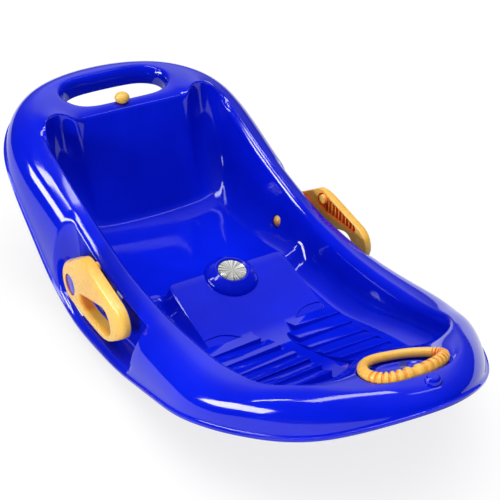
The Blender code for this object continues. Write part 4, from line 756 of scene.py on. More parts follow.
def soften(points, times):
    """Cut the corners of an open line of points, keeping its ends."""
    for _ in range(times):
        cut = [points[0]]
        for a, b in zip(points, points[1:]):
            cut.append(tuple(0.75 * p + 0.25 * q for p, q in zip(a, b)))
            cut.append(tuple(0.25 * p + 0.75 * q for p, q in zip(a, b)))
        points = cut + [points[-1]]
    return points


SIDES = (("right", -1.0), ("left", 1.0))
GAP = 0.0003
BADGE_Y, BADGE_Z, BADGE_TILT, BADGE_RADIUS, BADGE_DEPTH = 0.004, 0.080, math.radians(15.0), 0.0184, 0.003
BEAD_HEIGHT, BEAD_WIDTH = 0.0017, 0.0055
BOSS_RADIUS, BOSS_ROUNDING, BOSS_DOME, BOSS_DRAFT, BOSS_DEPTH = 0.036, 0.009, 0.014, 0.001, 0.044
FOOT_WELL_DEPTH = 0.0015
HEEL_X, HEEL_Y, HEEL_RADIUS = 0.072, -0.1155, 0.045
HEEL_ANGLES = (80.0, 70.0, 60.0, 50.0, 40.0, 30.0, 20.0, 10.0, 2.0)
FOOT_WELL_ROWS = (
    -0.120, -0.130, -0.140, -0.150, -0.160, -0.170, -0.180, -0.191, -0.203, -0.215, -0.227, -0.238, -0.251,
)
TREAD_COUNT, TREAD_FIRST_Y, TREAD_PITCH, TREAD_LAND = 6, -0.106, 0.0275, 0.002
TREAD_RAMP, TREAD_FIRST_RAMP, TREAD_NARROWEST = 1.04, 0.85, 0.01
TREAD_FALL, TREAD_DROP_INSIDE, TREAD_DROP_OUTSIDE, TREAD_EDGE = 0.003, 0.0072, 0.0028, 0.0006
TREAD_TOPS = ((-0.246, 0.087), (-0.191, 0.066), (-0.150, 0.0545), (-0.106, 0.050))
TREAD_INNER = ((-0.246, 0.018), (-0.191, 0.0095), (-0.150, 0.010), (-0.106, 0.025))
TREAD_OUTER = ((-0.246, 0.080), (-0.191, 0.088), (-0.106, 0.0925))
RUNNER_X, RUNNER_HALF_WIDTH = 0.072, 0.007
RUNNER_FRONT_Y, RUNNER_FLAT_FRONT_Y, RUNNER_FLAT_REAR_Y, RUNNER_REAR_Y = -0.215, -0.110, 0.160, 0.205
RUNNER_FRONT_RISE, RUNNER_REAR_RISE = 0.050, 0.030
RUNNER_STEPS, RUNNER_TOP_SHARE, RUNNER_EDGE, SOLE_DROP = 24, 0.8, 0.0012, 0.006
PIVOT_Y, PIVOT_Z = 0.0935, 0.071
PIVOT_SEAT_RADIUS, BOLT_SEAT_RADIUS, BOLT_SEAT_X, BOLT_SEAT_THICKNESS = 0.015, 0.0115, 0.132, 0.006
BOLT_RADIUS, BOLT_HEAD_RADIUS, BOLT_HEAD_HEIGHT = 0.004, 0.009, 0.0096
BOLT_HEAD_CLEARANCE, BOLT_REACH = 0.0004, 0.025
BRAKE_CLEARANCE = 0.0003
LEVER_OUTER_X = LIP_HALF_WIDTH - 0.0005
LOOP_INNER_X = LEVER_OUTER_X - 0.016
LEVER_INNER_X = LOOP_INNER_X - 0.0095
ARM_INNER_X = LEVER_INNER_X + 0.0025
ARM_OUTER_X = ARM_INNER_X + 0.012
ARM_SLOT_FRONT_Y, ARM_SLOT_REAR_Y, ARM_SLOT_TOP_Z = 0.076, 0.168, 0.062
ARM_SLOT_CORNER, ARM_SLOT_CLEARANCE = 0.012, 0.005
LUG_Y, LUG_RADIUS, LUG_BASE, LUG_RISE = RECESS_CENTRE_Y - 0.0455, 0.009, 0.008, 0.005
CORD_HOLE_RADIUS, CORD_HOLE_PLACE = 0.005, (0.0, 0.004)
KNOB_X, KNOB_Y, KNOB_RADIUS, KNOB_SINK = -0.009, 0.288, 0.0098, 0.0015
KNOB_WIDENING, KNOB_FLATTENING, KNOB_LIFT = 1.08, 0.82, 0.8
KNOB_STEM_RADIUS, KNOB_STEM_REACH = 0.003, 0.006


def badge_place():
    """The badge's seat: its centre, tilted toward the nose."""
    return Matrix.Translation((0.0, BADGE_Y, BADGE_Z)) @ Matrix.Rotation(BADGE_TILT, 4, "X")


def wall_x(y, z):
    """How far out the side wall of the tub stands at y and height z."""
    places = []
    for column in columns:
        wall = column[-len(WALL_SHARES) - 2:]
        for upper, lower in zip(wall, wall[1:]):
            if upper.z >= z > lower.z:
                places.append(lower.lerp(upper, (z - lower.z) / (upper.z - lower.z)))
                break
    for after, before in zip(places, places[1:]):
        if after.y >= y > before.y:
            return before.lerp(after, (y - before.y) / (after.y - before.y)).x
    return places[-1].x


def knob_profile(spare):
    """Half section of the knob: a flattened ball sunk a little into the deck, on a short stem."""
    deck = deck_height_at(0, KNOB_Y)
    middle = deck - KNOB_SINK + KNOB_LIFT * KNOB_RADIUS
    stem = KNOB_STEM_RADIUS + spare
    foot = deck - WALL - KNOB_STEM_REACH - spare
    ball = KNOB_RADIUS + spare
    profile = [(0.0, foot), (stem, foot)]
    for angle in range(20, 175, 8):
        turn = math.radians(angle)
        profile.append((
            KNOB_WIDENING * ball * math.sin(turn), middle - KNOB_FLATTENING * ball * math.cos(turn),
        ))
    return profile + [(0.0, middle + KNOB_FLATTENING * ball)]


shell = rough_piece("sled_shell", skin)
rounding = shell.modifiers.new("rounding", "SUBSURF")
rounding.levels = rounding.render_levels = 2
walls = shell.modifiers.new("walls", "SOLIDIFY")
walls.thickness = WALL
walls.offset = -1.0

# The badge's boss: a low dome with a bead round the seat, hollow underneath
seat = BADGE_RADIUS + GAP
dome = soften(
    [
        (seat + BEAD_WIDTH, 0.1 * BEAD_HEIGHT), (BOSS_RADIUS - 0.75 * BOSS_ROUNDING, -0.2 * BOSS_DOME),
        (BOSS_RADIUS - 0.15 * BOSS_ROUNDING, -0.57 * BOSS_DOME), (BOSS_RADIUS, -BOSS_DOME),
        (BOSS_RADIUS + 0.5 * BOSS_DRAFT, -0.6 * BOSS_DEPTH),
    ], 3,
)
bead = soften(
    [
        (seat, -0.0004), (seat, 0.3 * BEAD_HEIGHT), (seat + 0.45 * BEAD_WIDTH, 1.25 * BEAD_HEIGHT),
        (seat + BEAD_WIDTH, 0.1 * BEAD_HEIGHT),
    ], 2,
)
outer = [(0.0, -BADGE_DEPTH), (seat, -BADGE_DEPTH)] + bead + dome[1:]
boss = lathe(outer + [(BOSS_RADIUS + BOSS_DRAFT, -BOSS_DEPTH), (0.0, -BOSS_DEPTH)], badge_place(), 72)
ground = through(SEAT_LINE, BADGE_Y + BOSS_RADIUS) - WALL / 2.0
inverse = badge_place().inverted()
for vertex in boss.verts:
    if (inverse @ vertex.co).z < -0.9 * BOSS_DEPTH:
        vertex.co.z = ground
carve(shell, boss, "UNION")
inner = (
    (0.0, -BADGE_DEPTH - WALL), (seat, -BADGE_DEPTH - WALL), (BOSS_RADIUS - 0.9 * BOSS_ROUNDING, -0.57 * BOSS_DOME),
    (BOSS_RADIUS - WALL, -BOSS_DOME), (BOSS_RADIUS + BOSS_DRAFT - WALL, -1.5 * BOSS_DEPTH), (0.0, -1.5 * BOSS_DEPTH),
)
carve(shell, lathe(inner, badge_place(), 48), "DIFFERENCE")

# Foot wells: shallow, round at the heel, and as wide as the treads
well_rows = []
for angle in HEEL_ANGLES:
    turn = math.radians(angle)
    y = HEEL_Y + HEEL_RADIUS * math.sin(turn)
    reach = HEEL_RADIUS * math.cos(turn)
    well_rows.append((y, HEEL_X - reach, min(HEEL_X + reach, STEP_HALF_WIDTH)))
for y in FOOT_WELL_ROWS:
    well_rows.append((y, through(TREAD_INNER, y), through(TREAD_OUTER, y)))
for _, side in SIDES:
    rings = []
    for y, near, far in well_rows:
        corners = ((near, -FOOT_WELL_DEPTH), (far, -FOOT_WELL_DEPTH), (far, WALL), (near, WALL))
        rings.append([(side * x, y, seat_height(x, y) + rise) for x, rise in corners])
    carve(shell, drawn_through(rings), "DIFFERENCE")

# Treads: wedges that rise to a crest toward the nose and fall outwards
treads = []
for index in range(TREAD_COUNT):
    crest = TREAD_FIRST_Y - index * TREAD_PITCH
    foot = crest + (TREAD_RAMP if index else TREAD_FIRST_RAMP) * TREAD_PITCH
    top = through(TREAD_TOPS, crest)
    before = through(TREAD_TOPS, crest + TREAD_PITCH)
    near = through(TREAD_INNER, crest)
    far = through(TREAD_OUTER, crest)
    buried = (WALL + FOOT_WELL_DEPTH) / 2.0
    for _, side in SIDES:
        tread = prism(((foot, 0.0), (crest, 0.0), (crest, 1.0), (foot, 1.0)), side * near, side * far)
        for vertex in tread.verts:
            outer_end = abs(vertex.co.x) > 0.5 * (near + far)
            fall = TREAD_FALL if outer_end else 0.0
            lower = vertex.co.z < 0.5
            front = vertex.co.y < 0.5 * (crest + foot)
            ground = seat_height(near, vertex.co.y)
            if lower:
                vertex.co.z = ground - buried
                vertex.co.y -= 0.6 * TREAD_LAND if front else 0.0
            elif front:
                vertex.co.z = top - fall
            else:
                start = before - fall - (TREAD_DROP_OUTSIDE if outer_end else TREAD_DROP_INSIDE)
                vertex.co.z = max(start if index else 0.0, ground - 0.6 * FOOT_WELL_DEPTH)
        crests = [edge for edge in tread.edges if all(
            vertex.co.z > top - 1.5 * TREAD_FALL and vertex.co.y < crest + 0.001 for vertex in edge.verts
        ) and abs(edge.verts[0].co.x - edge.verts[1].co.x) > TREAD_NARROWEST]
        round_off(tread, crests, TREAD_EDGE)
        treads.append(tread)
carve(shell, joined(treads), "UNION")

# Runners: two straight ribs under the tub, flat where they rest and curved up at both ends
runners = []
top, bottom = [], []
for index in range(RUNNER_STEPS + 1):
    y = between(RUNNER_REAR_Y, RUNNER_FRONT_Y, index / RUNNER_STEPS)
    top.append((y, seat_height(RUNNER_X, y) - RUNNER_TOP_SHARE * WALL))
    front = max(RUNNER_FLAT_FRONT_Y - y, 0.0) / (RUNNER_FLAT_FRONT_Y - RUNNER_FRONT_Y)
    rear = max(y - RUNNER_FLAT_REAR_Y, 0.0) / (RUNNER_REAR_Y - RUNNER_FLAT_REAR_Y)
    bottom.append((y, RUNNER_FRONT_RISE * front * front + RUNNER_REAR_RISE * rear * rear))
for _, side in SIDES:
    start = side * RUNNER_X - RUNNER_HALF_WIDTH
    runner = prism(top + bottom[::-1], start, start + 2.0 * RUNNER_HALF_WIDTH)
    round_off(runner, [
        edge for edge in runner.edges if abs(edge.verts[0].co.x - edge.verts[1].co.x) < 0.001
        and all(vertex.co.z < seat_height(RUNNER_X, vertex.co.y) - SOLE_DROP for vertex in edge.verts)
    ], RUNNER_EDGE)
    runners.append(runner)
carve(shell, joined(runners), "UNION")

# Seats and bores of the two brakes' pivots, and slots for their arms
seats, bolt_seats, head_bores, bores = [], [], [], []
for _, side in SIDES:
    place = across(0.0, PIVOT_Y, PIVOT_Z)
    root = side * (POCKET_WALL_X - WALL / 2.0)
    seats.append(round_bar(PIVOT_SEAT_RADIUS, root, side * (LEVER_INNER_X - GAP), place))
    inward = side * BOLT_SEAT_X
    bolt_seat = round_bar(BOLT_SEAT_RADIUS, inward, inward + side * BOLT_SEAT_THICKNESS, place)
    for vertex in bolt_seat.verts:
        if abs(vertex.co.x) < BOLT_SEAT_X + 0.5 * BOLT_SEAT_THICKNESS:
            vertex.co.x = side * (wall_x(vertex.co.y, vertex.co.z) + WALL / 2.0)
    bolt_seats.append(bolt_seat)
    clear = BOLT_HEAD_RADIUS + BOLT_HEAD_CLEARANCE
    head_bores.append(round_bar(clear, side * (BOLT_SEAT_X - BOLT_REACH), inward, place))
    bores.append(round_bar(
        BOLT_RADIUS + BRAKE_CLEARANCE, side * (BOLT_SEAT_X - BOLT_HEAD_HEIGHT), side * LEVER_OUTER_X, place,
    ))
    bores.append(prism(
        (
            (ARM_SLOT_FRONT_Y, 0.0), (ARM_SLOT_REAR_Y, 0.0), (ARM_SLOT_REAR_Y, ARM_SLOT_TOP_Z - ARM_SLOT_CORNER),
            (ARM_SLOT_REAR_Y - ARM_SLOT_CORNER, ARM_SLOT_TOP_Z), (ARM_SLOT_FRONT_Y, ARM_SLOT_TOP_Z),
        ), side * (ARM_INNER_X - ARM_SLOT_CLEARANCE), side * (ARM_OUTER_X + ARM_SLOT_CLEARANCE),
    ))
carve(shell, joined(seats), "UNION")
carve(shell, joined(bolt_seats), "UNION")

# The lug in front of the grip, then all the holes, with those for the grip's cord and the knob's stem
lug_profile = soften(
    [
        (LUG_RADIUS, -LUG_BASE), (LUG_RADIUS, 0.3 * LUG_RISE), (0.75 * LUG_RADIUS, 0.95 * LUG_RISE),
        (0.4 * LUG_RADIUS, 1.05 * LUG_RISE), (0.0, LUG_RISE),
    ], 2,
)
lug_place = Matrix.Translation((0.0, LUG_Y, through(CROWN_LINE, LUG_Y)))
carve(shell, lathe([(0.0, -LUG_BASE)] + lug_profile, lug_place, 40), "UNION")
carve(shell, joined(head_bores), "DIFFERENCE")
hole = grip_place() @ Matrix.Translation((*CORD_HOLE_PLACE, 0.0))
bores.append(round_bar(CORD_HOLE_RADIUS, -2.0 * RECESS_DEPTH - WALL, RECESS_DEPTH, hole))
bores.append(lathe(knob_profile(GAP), Matrix.Translation((KNOB_X, KNOB_Y, 0.0)), 40))
carve(shell, joined(bores), "DIFFERENCE")


# Patterns in the plastic, in waves per metre: colour patches 110 mm across, haze of 30 mm, and
# the mould's orange peel at 4 mm, as coarse as it needs to be to show
PATCHES_PER_METRE, HAZE_PER_METRE, PEEL_PER_METRE = 9.0, 34.0, 260.0
PATCH_EDGES, HAZE_SPREAD, PEEL_HEIGHT = (0.30, 0.72), (0.8, 1.25), 0.0006
# Painted shade in hollows: how far the ambient occlusion looks, and the openness at which the shade is full and at
# which it has faded out
HOLLOW_SHADE_REACH, HOLLOW_SHADE_DARK, HOLLOW_SHADE_OPEN = 0.022, 0.45, 0.96
GLOW_COLOUR, GLOW_DEPTH = (1.0, 0.35, 0.08), 0.004


def plastic(name, deep, plain, pale, roughness, peel, glow_through=0.0, painted_shade_colour=None):
    """Moulded plastic: colour drifting between three shades, and a faint orange-peel skin.

    A translucent one lets a little light into it; given a shade colour, its hollows get painted shade, that colour
    mixed in where ambient occlusion finds them covered.
    """
    look, tree = new_tree(name)
    spot = node(tree, "TexCoord").outputs["Object"]
    cloud = node(tree, "TexNoise", [("Vector", spot)], Scale=PATCHES_PER_METRE, Detail=3.0)
    tint = node(tree, "ValToRGB", [("Fac", cloud.outputs["Fac"])])
    for element, position, shade in zip(tint.color_ramp.elements, PATCH_EDGES, (deep, pale)):
        element.position = position
        element.color = linear(shade)
    tint.color_ramp.elements.new(0.5).color = linear(plain)
    haze = node(tree, "TexNoise", [("Vector", spot)], Scale=HAZE_PER_METRE, Detail=5.0, Roughness=0.6)
    sheen = node(
        tree, "MapRange", [("Value", haze.outputs["Fac"])], From_Min=0.3, From_Max=0.7,
        To_Min=roughness * HAZE_SPREAD[0], To_Max=roughness * HAZE_SPREAD[1],
    )
    skin_noise = node(tree, "TexNoise", [("Vector", spot)], Scale=PEEL_PER_METRE, Detail=2.0)
    bump = node(tree, "Bump", [("Height", skin_noise.outputs["Fac"])], Strength=peel, Distance=PEEL_HEIGHT)
    colour = tint.outputs[0]
    # Painted shade: the given shade colour is mixed in where ambient occlusion finds the surface covered, deepest in
    # hollows
    if painted_shade_colour:
        open_sky = node(tree, "AmbientOcclusion", samples=8, only_local=True, Distance=HOLLOW_SHADE_REACH)
        share = node(
            tree, "MapRange", [("Value", open_sky.outputs["AO"])], From_Min=HOLLOW_SHADE_DARK, From_Max=HOLLOW_SHADE_OPEN,
        )
        painted_shade = node(
            tree, "MixRGB", [("Fac", share.outputs["Result"]), ("Color2", colour)], Color1=linear(painted_shade_colour),
        )
        colour = painted_shade.outputs[0]
    shader = node(
        tree, "BsdfPrincipled",
        [("Base Color", colour), ("Roughness", sheen.outputs[0]), ("Normal", bump.outputs[0])],
        IOR=1.5,
    )
    if glow_through:
        shader.inputs["Subsurface Weight"].default_value = glow_through
        shader.inputs["Subsurface Radius"].default_value = GLOW_COLOUR
        shader.inputs["Subsurface Scale"].default_value = GLOW_DEPTH
    node(tree, "OutputMaterial", [("Surface", shader.outputs[0])])
    return look


# High-density polyethylene, injection moulded: glossy, deep blue and opaque
blue_look = plastic("glossy_blue_polyethylene", "0416C2", "0519CE", "061EDC", 0.07, 0.015)
cast(shell, blue_look, "shell", ["hull"])


# Brake levers: orange polypropylene loops that turn on sleeves in the rim's pockets.
# Each is one moulding: a loop grip with a finger hole, a hollow ribbed back and an arm.

LEVER_OUTLINE = ((0.0, 0.0, 0.031), (-0.043, 0.031, 0.026), (-0.120, 0.013, 0.0245), (-0.068, -0.008, 0.0265))
LEVER_FACE = ((0.0, 0.0, 0.0195), (-0.036, -0.006, 0.0170), (-0.062, -0.003, 0.0205), (-0.100, 0.002, 0.0250))
LEVER_HUB = (0.0, 0.0, 0.0306)
LEVER_PEG, PEG_REACH = (-0.049, 0.0465, 0.0065), 0.005
LEVER_SLOPE, LEVER_SLOPE_POWER, LEVER_INNER_ROUNDING = 0.0105, 1.1, 0.0016
OUTLINE_STEPS, ROUNDING_STEPS, SLOPE_STEPS, FLARE_STEPS = 120, 6, 10, 6
FINGER_HOLE = ((-0.037, -0.0065, 0.0095), (-0.062, -0.004, 0.0130), (-0.098, 0.001, 0.0175))
FINGER_FLARE = 0.003
LEVER_CORE = ((-0.045, 0.040, 0.0125), (-0.080, 0.0375, 0.0085), (-0.114, 0.0315, 0.006))
LEVER_CORE_TOP = ((-0.114, 0.0375), (-0.080, 0.0462), (-0.045, 0.0524))
LEVER_CORE_FLOOR = ((-0.114, 0.0245), (-0.045, 0.0265))
LEVER_CORE_DEPTH, CORE_DRAFT = 0.0095, 0.0006
LEVER_RIBS, LEVER_RIB_PITCH, LEVER_RIB_THICKNESS = 9, 0.0078, 0.0016
LEVER_RIB_START, LEVER_RIB_SET_IN = 0.004, 0.0015
SLEEVE_RADIUS, SLEEVE_FLANGE_RADIUS, SLEEVE_FLANGE = 0.010, 0.0142, 0.0022
SLEEVE_FACE_X = LEVER_OUTER_X - 0.0012
ARM_ANGLE, ARM_LENGTH, ARM_HALF_HEIGHT, ARM_EDGE = math.radians(-27.0), 0.086, 0.008, 0.0008
RIVET_RADIUS, RIVET_PLACES, RIVET_DEPTH, RIVET_REACH = 0.0025, (0.064, 0.078), 0.006, 0.003
OVERSHOOT = 0.001


def belt(circles, inset, steps):
    """The outline of a belt stretched round circles given as (a, b, radius), drawn in by an inset."""
    outline = []
    for index in range(steps):
        angle = 2.0 * math.pi * index / steps
        cosine, sine = math.cos(angle), math.sin(angle)
        a, b, radius = max(circles, key=lambda circle: circle[0] * cosine + circle[1] * sine + circle[2])
        outline.append((a + (radius - inset) * cosine, b + (radius - inset) * sine))
    return outline


def drawn_up(outlines, side):
    """A closed solid through outlines of (y, z) pairs, each given as (distance out, outline)."""
    return drawn_through([[(side * x, y, z) for y, z in outline] for x, outline in outlines])


def loft(circles, levels, side, steps=72):
    """A closed solid through belts round the same circles, each level given as (distance out, inset)."""
    return drawn_up([(x, belt(circles, inset, steps)) for x, inset in levels], side)


def at_pivot(work):
    """Move a shape given about the pivot axis to its place."""
    bmesh.ops.translate(work, verts=work.verts, vec=(0.0, PIVOT_Y, PIVOT_Z))
    return work


def turned_at_pivot(profile, side, steps=48):
    """A solid turned about the pivot axis: a half section of (radius, distance out)."""
    return at_pivot(lathe([(radius, side * x) for radius, x in profile], across(0.0, 0.0, 0.0), steps))


# Polypropylene, injection moulded: warm orange and a little translucent, with painted red-orange shade in its hollows
orange_look = plastic("moulded_orange_polypropylene", "EEAE44", "F2BE52", "F6CC66", 0.26, 0.06, 0.30, "F0641C")

for name, side in SIDES:
    wide, narrow = belt(LEVER_OUTLINE, 0.0, OUTLINE_STEPS), belt(LEVER_FACE, 0.0, OUTLINE_STEPS)
    outlines = []
    for step in range(ROUNDING_STEPS):
        turn = 0.5 * math.pi * step / (ROUNDING_STEPS - 1)
        x = LOOP_INNER_X + LEVER_INNER_ROUNDING * (1.0 - math.cos(turn))
        inset = LEVER_INNER_ROUNDING * (1.0 - math.sin(turn))
        outlines.append((x, belt(LEVER_OUTLINE, inset, OUTLINE_STEPS)))
    for step in range(SLOPE_STEPS):
        turn = 0.5 * math.pi * step / (SLOPE_STEPS - 1)
        x = LEVER_OUTER_X - LEVER_SLOPE * (1.0 - math.sin(turn))
        share = (1.0 - math.cos(turn)) ** LEVER_SLOPE_POWER
        outlines.append((x, [tuple(between(p, q, share) for p, q in zip(a, b)) for a, b in zip(wide, narrow)]))
    lever = rough_piece("brake_grip_" + name, at_pivot(drawn_up(outlines, side)))

    # The hollow back, the hub that turns on the sleeve, and the peg
    start = LOOP_INNER_X - OVERSHOOT
    core = loft(LEVER_CORE, ((start, 0.0), (LOOP_INNER_X + LEVER_CORE_DEPTH, CORE_DRAFT)), side, 48)
    carve(lever, at_pivot(core), "DIFFERENCE")
    levels = (
        (LEVER_INNER_X, 0.001), (LEVER_INNER_X + 0.0003, 0.0003), (LEVER_INNER_X + 0.001, 0.0),
        (LOOP_INNER_X + 0.002, 0.0),
    )
    carve(lever, at_pivot(loft((LEVER_HUB,), levels, side)), "UNION")
    floor_x = LOOP_INNER_X + LEVER_CORE_DEPTH + 0.0005
    start = LOOP_INNER_X - PEG_REACH
    levels = ((start, 0.0014), (start + 0.0005, 0.0004), (start + 0.0015, 0.0), (floor_x, 0.0))
    carve(lever, at_pivot(loft((LEVER_PEG,), levels, side, 32)), "UNION")

    # The arm that carries the claw, and the ribs across the hollow
    half = ARM_HALF_HEIGHT
    turned = Matrix.Rotation(ARM_ANGLE, 2)
    corners = [turned @ Vector(spot) for spot in ((0.0, -half), (ARM_LENGTH, -half), (ARM_LENGTH, half), (0.0, half))]
    arm = prism([tuple(spot) for spot in corners], side * ARM_INNER_X, side * ARM_OUTER_X)
    round_off(arm, arm.edges[:], ARM_EDGE, 2)
    carve(lever, at_pivot(arm), "UNION")
    ribs = []
    for index in range(LEVER_RIBS):
        y = LEVER_CORE[0][0] - LEVER_RIB_START - index * LEVER_RIB_PITCH
        top, bottom = through(LEVER_CORE_TOP, y), through(LEVER_CORE_FLOOR, y)
        half = LEVER_RIB_THICKNESS / 2.0
        outline = ((y - half, bottom), (y + half, bottom), (y + half, top), (y - half, top))
        ribs.append(at_pivot(prism(outline, side * (LOOP_INNER_X + LEVER_RIB_SET_IN), side * floor_x)))
    carve(lever, joined(ribs), "UNION")

    # The finger hole, flared outside, the hub's bore, and the rivets' holes
    levels = [(LOOP_INNER_X - OVERSHOOT, 0.0), (LEVER_OUTER_X - 2.0 * FINGER_FLARE, 0.0)]
    for step in range(1, FLARE_STEPS + 1):
        turn = 0.5 * math.pi * step / FLARE_STEPS
        levels.append((
            LEVER_OUTER_X - 2.0 * FINGER_FLARE + 2.0 * FINGER_FLARE * math.sin(turn),
            -1.1 * FINGER_FLARE * (1.0 - math.cos(turn)),
        ))
    levels.append((LEVER_OUTER_X + OVERSHOOT, -1.5 * FINGER_FLARE))
    carve(lever, at_pivot(loft(FINGER_HOLE, levels, side, 64)), "DIFFERENCE")
    bore = SLEEVE_RADIUS + BRAKE_CLEARANCE
    wide = SLEEVE_FLANGE_RADIUS + BRAKE_CLEARANCE
    start, end = LEVER_INNER_X - OVERSHOOT, LEVER_OUTER_X + OVERSHOOT
    seat_x = SLEEVE_FACE_X - SLEEVE_FLANGE - BRAKE_CLEARANCE
    profile = ((0.0, start), (bore, start), (bore, seat_x), (wide, seat_x), (wide, end), (0.0, end))
    carve(lever, turned_at_pivot(profile, side), "DIFFERENCE")
    holes = []
    for distance in RIVET_PLACES:
        place = Matrix.Rotation(ARM_ANGLE, 4, "X") @ across(0.0, distance, 0.0)
        holes.append(at_pivot(round_bar(
            RIVET_RADIUS + GAP, side * (ARM_OUTER_X - RIVET_DEPTH - GAP), side * (ARM_OUTER_X + RIVET_REACH), place, 24,
        )))
    carve(lever, joined(holes), "DIFFERENCE")
    cast(lever, orange_look, "brake_" + name, ["brake_lever_" + name])


# Claws and rivets: zinc-plated steel plates with three teeth, held to each arm by two rivets.
# They keep the solids' own shape and get the dull, slightly mottled look of plated steel.

# Mottle 6 mm across, and rolling lines 1 mm apart, coarser than real ones so that they show
MOTTLE_PER_METRE, LINES_PER_METRE = 180.0, (900.0, 60.0, 60.0)
steel_look, tree = new_tree("zinc_plated_steel")
spot = node(tree, "TexCoord").outputs["Object"]
mottle = node(tree, "TexNoise", [("Vector", spot)], Scale=MOTTLE_PER_METRE, Detail=4.0)
tone = node(tree, "ValToRGB", [("Fac", mottle.outputs["Fac"])])
for element, shade in zip(tone.color_ramp.elements, ("A9ACB0", "D6D8DA")):
    element.color = linear(shade)
wear = node(tree, "MapRange", [("Value", mottle.outputs["Fac"])], To_Min=0.28, To_Max=0.46)
rolled = node(tree, "Mapping", [("Vector", spot)], Scale=LINES_PER_METRE)
lines = node(tree, "TexNoise", [("Vector", rolled.outputs[0])], Scale=1.0, Detail=2.0)
bump = node(tree, "Bump", [("Height", lines.outputs["Fac"])], Strength=0.12, Distance=0.0002)
shader = node(
    tree, "BsdfPrincipled",
    [("Base Color", tone.outputs[0]), ("Roughness", wear.outputs[0]), ("Normal", bump.outputs[0])],
    Metallic=1.0,
)
node(tree, "OutputMaterial", [("Surface", shader.outputs[0])])
for name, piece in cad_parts.items():
    if name.startswith(("brake_claw", "claw_rivet")):
        for place in piece.material_slots:
            place.material = steel_look


# Pivot sleeves and bolts: a blue polyethylene sleeve shows as a plain disc in each lever's hub,
# and an orange nylon bolt with a slotted round head holds it from inside the tub.

SLEEVE_CHAMFER, SLEEVE_STEPS = 0.0006, 56
BOLT_END_X = SLEEVE_FACE_X - 0.0058
BOLT_DOME_SHARE, BOLT_DOME_STEPS = 0.72, 7
BOLT_SLOT_HALF_WIDTH, BOLT_SLOT_DEPTH, BOLT_SLOT_TURN = 0.001, 0.0022, math.radians(35.0)
for name, side in SIDES:
    face, start = SLEEVE_FACE_X, LEVER_INNER_X
    profile = [
        (BOLT_RADIUS + GAP, start), (SLEEVE_RADIUS, start), (SLEEVE_RADIUS, face - SLEEVE_FLANGE),
        (SLEEVE_FLANGE_RADIUS, face - SLEEVE_FLANGE), (SLEEVE_FLANGE_RADIUS, face - SLEEVE_CHAMFER),
        (SLEEVE_FLANGE_RADIUS - 0.3 * SLEEVE_CHAMFER, face - 0.3 * SLEEVE_CHAMFER),
        (SLEEVE_FLANGE_RADIUS - SLEEVE_CHAMFER, face), (0.0, face), (0.0, BOLT_END_X + GAP),
        (BOLT_RADIUS + GAP, BOLT_END_X + GAP), (BOLT_RADIUS + GAP, start),
    ]
    sleeve = rough_piece("hinge_sleeve_" + name, turned_at_pivot(profile, side, SLEEVE_STEPS))
    cast(sleeve, blue_look, "shell", ["pivot_sleeve_" + name])
    seat_x = BOLT_SEAT_X - GAP
    top = seat_x - BOLT_HEAD_HEIGHT
    profile = [(0.0, top)]
    for step in range(1, BOLT_DOME_STEPS + 1):
        turn = 0.5 * math.pi * step / BOLT_DOME_STEPS
        rise = BOLT_DOME_SHARE * BOLT_HEAD_HEIGHT * (1.0 - math.cos(turn))
        profile.append((BOLT_HEAD_RADIUS * math.sin(turn), top + rise))
    profile += [(BOLT_HEAD_RADIUS, seat_x), (BOLT_RADIUS, seat_x), (BOLT_RADIUS, BOLT_END_X), (0.0, BOLT_END_X)]
    bolt = rough_piece("hinge_bolt_" + name, turned_at_pivot(profile, side))
    long, half = BOLT_HEAD_RADIUS, BOLT_SLOT_HALF_WIDTH
    outline = ((-long, -half), (long, -half), (long, half), (-long, half))
    groove = prism(outline, side * (top - OVERSHOOT), side * (top + BOLT_SLOT_DEPTH))
    bmesh.ops.transform(groove, matrix=Matrix.Rotation(BOLT_SLOT_TURN, 4, "X"), verts=groove.verts)
    carve(bolt, at_pivot(groove), "DIFFERENCE")
    cast(bolt, orange_look, "shell", ["pivot_bolt_" + name])


# Towing grip: a closed loop of orange polypropylene bar, ribbed along its front for mittens.
# It lies loose in its recess in the nose and lifts off.

GRIP_RIB_DEPTH, GRIP_PLAIN, GRIP_RIBS = 0.0019, (0.10, 0.55), 34
GRIP_FADE, GRIP_HALF_FADE, GRIP_FLAT = 0.012, 0.006, 0.9511
GRIP_LOOPS, GRIP_ROUND, GRIP_SHARP_ANGLE = 432, 24, 60.0
bar = bmesh.new()
bmesh.ops.create_grid(bar, x_segments=GRIP_ROUND, y_segments=GRIP_LOOPS, size=1.0)
bar.verts.ensure_lookup_table()
for loop in range(GRIP_LOOPS + 1):
    share = (loop % GRIP_LOOPS) / GRIP_LOOPS
    centre, outward = grip_line(share), grip_outward(share)
    plain = min(
        ease((share - GRIP_PLAIN[0] + GRIP_HALF_FADE) / GRIP_FADE),
        ease((GRIP_PLAIN[1] + GRIP_HALF_FADE - share) / GRIP_FADE),
    )
    wave = 0.5 - 0.5 * math.cos(2.0 * math.pi * GRIP_RIBS * share)
    groove = GRIP_RIB_DEPTH * ease(1.7 * wave - 0.7) * (1.0 - plain)
    for corner in range(GRIP_ROUND + 1):
        turn = 2.0 * math.pi * (corner % GRIP_ROUND) / GRIP_ROUND
        deeper_on_top = 0.5 + 0.5 * ease((math.sin(turn) + 0.4) / 0.8)
        radius = grip_radius(share) - groove * deeper_on_top
        spot = centre + outward * radius * math.cos(turn)
        spot.z = radius * math.sin(turn) if math.sin(turn) > -GRIP_FLAT else -GRIP_FLAT * radius
        bar.verts[loop * (GRIP_ROUND + 1) + corner].co = grip_place() @ spot
bmesh.ops.remove_doubles(bar, verts=bar.verts, dist=0.00001)
bmesh.ops.recalc_face_normals(bar, faces=bar.faces)
cast(rough_piece("towing_loop", bar), orange_look, "grip", ["tow_grip"], GRIP_SHARP_ANGLE)


# Badge: a round of silver foil with a plain sunburst brushing, under a clear domed lens.
# Both lie in the seat on the boss, and only the dome stands out of it.

